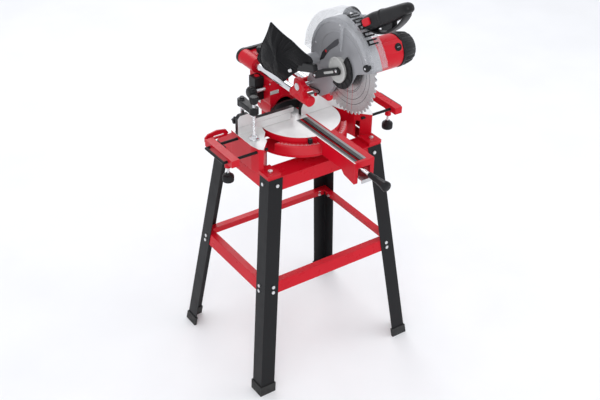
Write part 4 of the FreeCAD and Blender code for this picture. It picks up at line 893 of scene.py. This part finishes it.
def grip():
    """Main handle: a crowned loft from its root on the guard to the rounded tip."""
    low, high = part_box("handle")
    middle_x = (low.x + high.x) / 2
    half = (high.x - low.x) / 2
    stations = [
        # top y, top z, bottom y, bottom z, width share
        (-0.036, 0.1395, -0.054, 0.1385, 0.55),
        (-0.046, 0.149, -0.073, 0.1255, 0.92),
        (-0.060, 0.161, -0.090, 0.133, 1.0),
        (-0.082, 0.1785, -0.108, 0.144, 1.0),
        (-0.092, 0.184, -0.118, 0.1505, 0.94),
        (-0.097, 0.1862, -0.124, 0.154, 0.84),
        (-0.118, 0.199, -0.144, 0.167, 0.82),
        (-0.150, 0.217, -0.171, 0.185, 0.82),
        (-0.182, 0.235, -0.197, 0.205, 0.82),
        (-0.199, 0.2445, -0.212, 0.218, 0.84),
        (-0.210, 0.2448, -0.220, 0.226, 0.72),
        (-0.220, 0.2405, -0.2235, 0.2335, 0.35),
    ]
    sections = []
    for top_y, top_z, bottom_y, bottom_z, share in stations:
        top = Vector((middle_x, BLADE.y + top_y, BLADE.z + top_z))
        bottom = Vector((middle_x, BLADE.y + bottom_y, BLADE.z + bottom_z))
        centre = (top + bottom) / 2
        tall = (top - bottom) / 2
        wide = Vector((half * share, 0, 0))
        sections.append([centre + wide * a + tall * b for a, b in superellipse(28, 2.7)])
    loft("grip_body", sections, "black_plastic", "head", "handle")
    band = []
    for place, grow in ((0.0, 0.9), (0.08, 1.045), (0.92, 1.045), (1.0, 0.9)):
        top = Vector((middle_x, BLADE.y - 0.106 - 0.011 * place, BLADE.z + 0.1925 + 0.0066 * place))
        bottom = Vector((middle_x, BLADE.y - 0.131 - 0.011 * place, BLADE.z + 0.1585 + 0.007 * place))
        centre = (top + bottom) / 2
        tall = (top - bottom) / 2 * grow
        wide = Vector((half * 0.86 * grow, 0, 0))
        band.append([centre + wide * a + tall * b for a, b in superellipse(28, 2.7)])
    loft("grip_band", band, "black_plastic", "head")
    bow = [
        (-0.078, 0.134), (-0.098, 0.1325), (-0.128, 0.1395), (-0.158, 0.156), (-0.184, 0.179),
        (-0.202, 0.202), (-0.213, 0.224),
    ]
    sections = []
    for step, (y, z) in enumerate(bow):
        before = Vector((0, *bow[max(step - 1, 0)]))
        after = Vector((0, *bow[min(step + 1, len(bow) - 1)]))
        run = (after - before).normalized()
        across = Vector((0, -run.z, run.y))
        centre = Vector((middle_x, BLADE.y + y, BLADE.z + z))
        sections.append(
            [centre + Vector((0.013 * a, 0, 0)) + across * (0.0034 * b) for a, b in superellipse(20, 3.0)]
        )
    loft("trigger_bow", sections, "black_plastic", "head")
    button_low, button_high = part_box("lock_off_button")
    centre = middle("lock_off_button")
    along = Vector((0, -0.83, 0.56))
    across = Vector((0, 0.56, 0.83))
    outline = []
    for a, b in superellipse(32, 4.0):
        point = centre + Vector((0, -0.006, 0.006)) + along * (0.0145 * a) + across * (0.0095 * b)
        outline.append((point.y, point.z))
    slab("lock_button", "x", outline, button_low.x - 0.0004, button_high.x, "red_plastic",
         "lock_off_button", "lock_off_button", 0.0018, 4)


def carry_handle():
    """Rounded arch with two feet, swept round a half circle."""
    low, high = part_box("carry_handle")
    centre = Vector(((low.x + high.x) / 2, (low.y + high.y) / 2, high.z - 0.036))
    half = (high.x - low.x) / 2
    sections = []
    for step in range(21):
        turn = math.pi * step / 20
        out = Vector((0, math.cos(turn), math.sin(turn)))
        middle_point = centre + out * 0.0295
        sections.append(
            [middle_point + Vector((half * a, 0, 0)) + out * (0.0062 * b) for a, b in superellipse(20, 3.0)]
        )
    loft("carry_arch", sections, "black_plastic", "head", "carry_handle")
    brick("carry_foot", (low.x, low.y, low.z), (high.x, high.y, low.z + 0.0068), "black_plastic", "head",
          bevel=0.002)


def guard_details():
    """Steps, dark plates painted as the shade in the recess, rivets, cover and inner parts on the guard's left
    side.
    """
    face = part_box("upper_guard")[0].x
    arc_band("guard_outer_step", (0.1225, 0.1315), (face - 0.0016, face + 0.0005), (31, 172),
             "grey_casting", "head")
    arc_band("guard_middle_step", (0.094, 0.1005), (face - 0.0012, face + 0.0005), (24, 168),
             "grey_casting", "head")
    cover_low, cover_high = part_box("arbor_cover")
    centre = middle("arbor_cover")
    radius = (cover_high.z - cover_low.z) / 2
    cover = [
        (0.0, cover_high.x), (radius - 0.003, cover_high.x), (radius - 0.003, cover_low.x + 0.0035),
        (radius, cover_low.x + 0.003), (radius, cover_low.x + 0.0012), (radius - 0.0012, cover_low.x),
        (radius - 0.007, cover_low.x), (radius - 0.008, cover_low.x + 0.0009), (0.0, cover_low.x + 0.0009),
    ]
    lathe("arbor_disc", "x", centre, cover, "cover_grey", "head", "arbor_cover", 96)
    panel = [
        (0.082, 0.012), (0.068, 0.030), (0.030, 0.067), (0.0155, 0.0775), (0.0125, 0.066), (0.020, 0.056),
        (0.050, 0.032), (0.074, 0.000),
    ]
    tip = [(0.0915, -0.0135), (0.082, 0.014), (0.0715, 0.0265), (0.0625, 0.018), (0.074, -0.001)]
    # Dark grey and black plates laid on the guard's face where it has a recess: painted shade.
    recesses = (("panel", panel, "recess_shade", 0.0007), ("tip", tip, "black_plastic", 0.0012))
    for label, corners, finish, raised in recesses:
        outline = [(BLADE.y + y, BLADE.z + z) for y, z in corners]
        slab(f"guard_recess_shade_{label}", "x", outline, face - raised, face + 0.001, finish, "head",
             bevel=0.0004)
    rivets = (("red", 0.0655, 0.0235, "red_plastic", 0.0032), ("front", -0.098, 0.064, "zinc", 0.003),
              ("rear", 0.112, 0.03, "zinc", 0.003), ("top", 0.01, 0.115, "zinc", 0.003))
    for label, y, z, finish, size in rivets:
        spot = Vector((face, BLADE.y + y, BLADE.z + z))
        head = [(0.0, -0.0026), (size * 0.6, -0.0023), (size, -0.0012), (size, 0.0), (0.0, 0.0)]
        lathe(f"guard_rivet_{label}", "x", spot, head, finish, "head", steps=24, at=face)
    link = middle("guard_link")
    link_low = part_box("guard_link")[0]
    joint = pivot("guard_link_turn")
    for label, spot in (("pivot", joint), ("end", Vector((link.x, BLADE.y - 0.009, BLADE.z + 0.003)))):
        pin = [(0.0, -0.002), (0.0028, -0.0018), (0.0045, -0.0008), (0.0045, 0.0005), (0.0, 0.0005)]
        lathe(f"link_pin_{label}", "x", spot, pin, "chrome", "guard_link", steps=24,
              at=link_low.x)
    # Pale grey plate in the link's slot, in place of the chrome there: painted highlight.
    slot = []
    for end, start in (((0.038, -0.0215), -math.pi / 2), ((0.004, -0.0045), math.pi / 2)):
        for step in range(9):
            turn = start + math.pi * step / 8 - 0.46
            y = BLADE.y + end[0] + 0.0032 * math.cos(turn)
            slot.append((y, BLADE.z + end[1] + 0.0032 * math.sin(turn)))
    slab("link_slot_highlight", "x", slot, link_low.x - 0.0006, link_low.x + 0.0005, "cover_grey", "guard_link",
         bevel=0.0003)
    hook = [
        (0.127, -0.104), (0.108, -0.101), (0.088, -0.0985), (0.084, -0.102), (0.090, -0.110),
        (0.102, -0.117),
    ]
    spots = [Vector((face - 0.003, BLADE.y + y, BLADE.z + z)) for y, z in hook]
    rope("arm_hook", spots, 0.0016, "black_plastic", "head")
    knob = [(0.0, -0.0065), (0.0036, -0.0065), (0.0044, -0.0055), (0.0044, 0.0), (0.0, 0.0)]
    lathe("arm_hook_knob", "x", spots[-1], knob, "red_plastic", "head", steps=24, at=face)


def moving_guard():
    """Clear guard as a rim with two side walls, its black carrier, and black bands over its front top as painted
    shade for the slots in its rim.
    """
    low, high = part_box("blade_guard")
    outer = high.z - BLADE.z
    wall = 0.0025
    sweep = (20.5, 177)
    rim = arc_band("guard_rim", (outer - wall, outer), (low.x, high.x), sweep, "clear_plastic",
                   "blade_guard", 96)
    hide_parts("blade_guard")
    arc_band("guard_wall_left", (0.1212, outer - wall - 0.0001), (low.x, low.x + wall), sweep,
             "clear_plastic", "blade_guard", 96)
    arc_band("guard_wall_right", (0.1355, outer - wall - 0.0001), (high.x - wall, high.x), sweep,
             "clear_plastic", "blade_guard", 96)
    arc_band("guard_carrier", (0.0315, 0.052), (low.x + 0.0005, low.x + 0.0055), (-118, 58),
             "black_plastic", "blade_guard", 40)
    for step in range(6):
        start = -100 + 26 * step
        arc_band(f"carrier_rib_{step}", (0.0375, 0.0495), (low.x - 0.0008, low.x + 0.001),
                 (start, start + 9), "black_plastic", "blade_guard", 6)
    arc_band("guard_spoke", (0.05, 0.1215), (low.x, low.x + wall), (84, 90), "clear_plastic", "blade_guard",
             8)
    # Black bands on the rim where its slots are: painted shade.
    span = (low.x + 0.005, high.x - 0.008)
    for step in range(5):
        start = 44 + 8.5 * step
        for part, (first, last) in enumerate(((0, 1.5), (4.0, 5.5))):
            arc_band(f"rim_slot_shade_{step}_{part}", (outer - 0.0023, outer + 0.0004), span,
                     (start + first, start + last), "black_plastic", "blade_guard", 4)
        arc_band(f"rim_slot_shade_{step}_end", (outer - 0.0023, outer + 0.0004), (low.x + 0.005, low.x + 0.010),
                 (start, start + 5.5), "black_plastic", "blade_guard", 6)


# ---------------------------------------------------------------- dust bag


def resampled(corners, count):
    """Evenly spaced points along a closed outline whose sides sag inwards a little."""
    dense = []
    for first, second in zip(corners, corners[1:] + corners[:1]):
        side = second - first
        inward = Vector((0, side.z, -side.y)) * 0.03
        dense += [
            first + side * (part / 24) + inward * math.sin(math.pi * part / 24) for part in range(24)
        ]
    lengths = [(b - a).length for a, b in zip(dense, dense[1:] + dense[:1])]
    step = sum(lengths) / count
    points = []
    walked = 0.0
    for point, length, after in zip(dense, lengths, dense[1:] + dense[:1]):
        while len(points) < count and len(points) * step <= walked + length:
            points.append(point.lerp(after, (len(points) * step - walked) / length))
        walked += length
    return points


def pouch(name, seam, half):
    """Two cloth panels joined at their seam, as nested rings."""
    centre = sum(seam, Vector()) / len(seam)
    mesh_data = bmesh.new()
    edge = [mesh_data.verts.new(point) for point in seam]
    shares = (0.95, 0.89, 0.81, 0.71, 0.6, 0.48, 0.36, 0.24, 0.12)
    for side in (-1, 1):
        row = edge
        for share in shares:
            bulge = side * half * (1 - share ** 3)
            shift = Vector((bulge, 0, 0))
            after = [mesh_data.verts.new(centre.lerp(point, share) + shift) for point in seam]
            for step in range(len(seam)):
                beyond = (step + 1) % len(seam)
                mesh_data.faces.new((row[step], row[beyond], after[beyond], after[step]))
            row = after
        mesh_data.faces.new(row)
    bmesh.ops.triangulate(mesh_data, faces=[face for face in mesh_data.faces if len(face.verts) > 4])
    bag = piece_from(name, mesh_data, "bag_cloth", "head", "dust_bag", 180)
    pinned = bag.vertex_groups.new(name="seam")
    near = {tuple(round(c, 5) for c in point) for point in seam}
    held = [v.index for v in bag.data.vertices if tuple(round(c, 5) for c in v.co) in near]
    pinned.add(held, 1.0, "REPLACE")
    return bag


def apply_modifiers(thing):
    """Replace a piece's mesh by its finished shape."""
    bpy.context.view_layer.update()
    depsgraph = bpy.context.evaluated_depsgraph_get()
    mesh = bpy.data.meshes.new_from_object(thing.evaluated_get(depsgraph))
    thing.modifiers.clear()
    thing.data = mesh


def inflate(bag, limit):
    """Run a short cloth simulation with pressure, and hold back any point that went too far."""
    before = [vertex.co.copy() for vertex in bag.data.vertices]
    cloth = bag.modifiers.new("cloth", "CLOTH")
    cloth.settings.use_pressure = True
    cloth.settings.uniform_pressure_force = 4
    cloth.settings.effector_weights.gravity = 0
    cloth.settings.quality = 6
    cloth.settings.tension_stiffness = 30
    cloth.settings.bending_stiffness = 0.15
    cloth.settings.shrink_min = -0.07
    cloth.settings.vertex_group_mass = "seam"
    for step in range(1, 21):
        scene.frame_set(step)
    depsgraph = bpy.context.evaluated_depsgraph_get()
    after = [vertex.co.copy() for vertex in bag.evaluated_get(depsgraph).data.vertices]
    bag.modifiers.clear()
    scene.frame_set(1)
    for vertex, old, new in zip(bag.data.vertices, before, after):
        move = new - old
        if move.length > limit:
            move *= limit / move.length
        vertex.co = old + move


def dust_bag():
    """Slack cloth bag with a piped seam, a stiff collar at its narrow end and a rivet."""
    low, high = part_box("dust_bag")
    span_y = high.y - low.y
    span_z = high.z - low.z
    middle_x = (low.x + high.x) / 2
    shape = [
        (0.719, 0.993), (0.889, 0.473), (1.0, 0.10), (0.846, 0.0), (0.46, 0.013), (0.178, 0.427),
        (0.0, 0.58), (-0.07, 0.74), (-0.05, 0.80), (0.308, 0.887),
    ]
    corners = [Vector((middle_x, low.y + a * span_y, low.z + b * span_z)) for a, b in shape]
    seam = resampled(corners, 120)
    bag = pouch("dust_pouch", seam, 0.012)
    inflate(bag, 0.009)
    apply_modifiers(subdivide(bag))
    bag.data.shade_smooth()
    rope("bag_piping", [seam[i] for i in range(0, 120, 2)], 0.0013, "bag_cloth", "head", cyclic=True)
    collar = [(0.194, 0.413), (-0.105, 0.58), (-0.125, 0.62), (-0.118, 0.70), (-0.095, 0.725), (0.13, 0.62)]
    outline = [(low.y + a * span_y, low.z + b * span_z) for a, b in collar]
    slab("bag_collar", "x", outline, middle_x - 0.0065, middle_x + 0.0065, "black_plastic", "head",
         bevel=0.002, segments=3)
    spot = Vector((middle_x, low.y + 0.283 * span_y, low.z + 0.37 * span_z))
    stud = [(0.0, 0.006), (0.0034, 0.0064), (0.0042, 0.0078), (0.0042, 0.013), (0.0, 0.013)]
    lathe("bag_rivet", "x", spot, stud, "white_plastic", "head", steps=32, at=low.x)


extension_feet()
bevel_knob()
rail_knob()
clamp_parts()
mitre_handle()
small_knobs()
carriage()
column_details()
motor()
grip()
carry_handle()
guard_details()
moving_guard()
dust_bag()

# ---------------------------------------------------------------- stage


def studio():
    """Pale floor, pale surroundings and three large soft lights."""
    graph = Graph("floor_pale")
    shade = graph.remap(graph.noise(3.0, 4.0), 0, 1)
    graph.set(base_color=graph.blend(shade, colour(0.86, 0.86, 0.86), colour(0.9, 0.9, 0.9)))
    graph.set(roughness=graph.remap(graph.noise(6.0), 0.7, 0.8))
    mesh_data = bmesh.new()
    bmesh.ops.create_grid(mesh_data, x_segments=1, y_segments=1, size=14)
    mesh = bpy.data.meshes.new("floor")
    mesh_data.to_mesh(mesh)
    mesh_data.free()
    mesh.materials.append(graph.material)
    floor = bpy.data.objects.new("floor", mesh)
    scene.collection.objects.link(floor)
    world = bpy.data.worlds.new("pale")
    world.use_nodes = True
    background = world.node_tree.nodes["Background"]
    background.inputs[0].default_value = (0.93, 0.95, 1.0, 1.0)
    background.inputs[1].default_value = 0.95
    scene.world = world
    lights = (
        ("key", (-1.9, -2.4, 2.9), 34, 1.6),
        ("fill", (2.6, -1.4, 1.9), 14, 2.0),
        ("back", (0.8, 2.6, 2.6), 22, 1.6),
    )
    for name, spot, power, size in lights:
        data = bpy.data.lights.new(name, "AREA")
        data.energy = power
        data.size = size
        lamp = bpy.data.objects.new(name, data)
        lamp.location = spot
        aim = Vector((0, 0, 0.75)) - Vector(spot)
        lamp.rotation_euler = aim.to_track_quat("-Z", "Y").to_euler()
        scene.collection.objects.link(lamp)


studio()
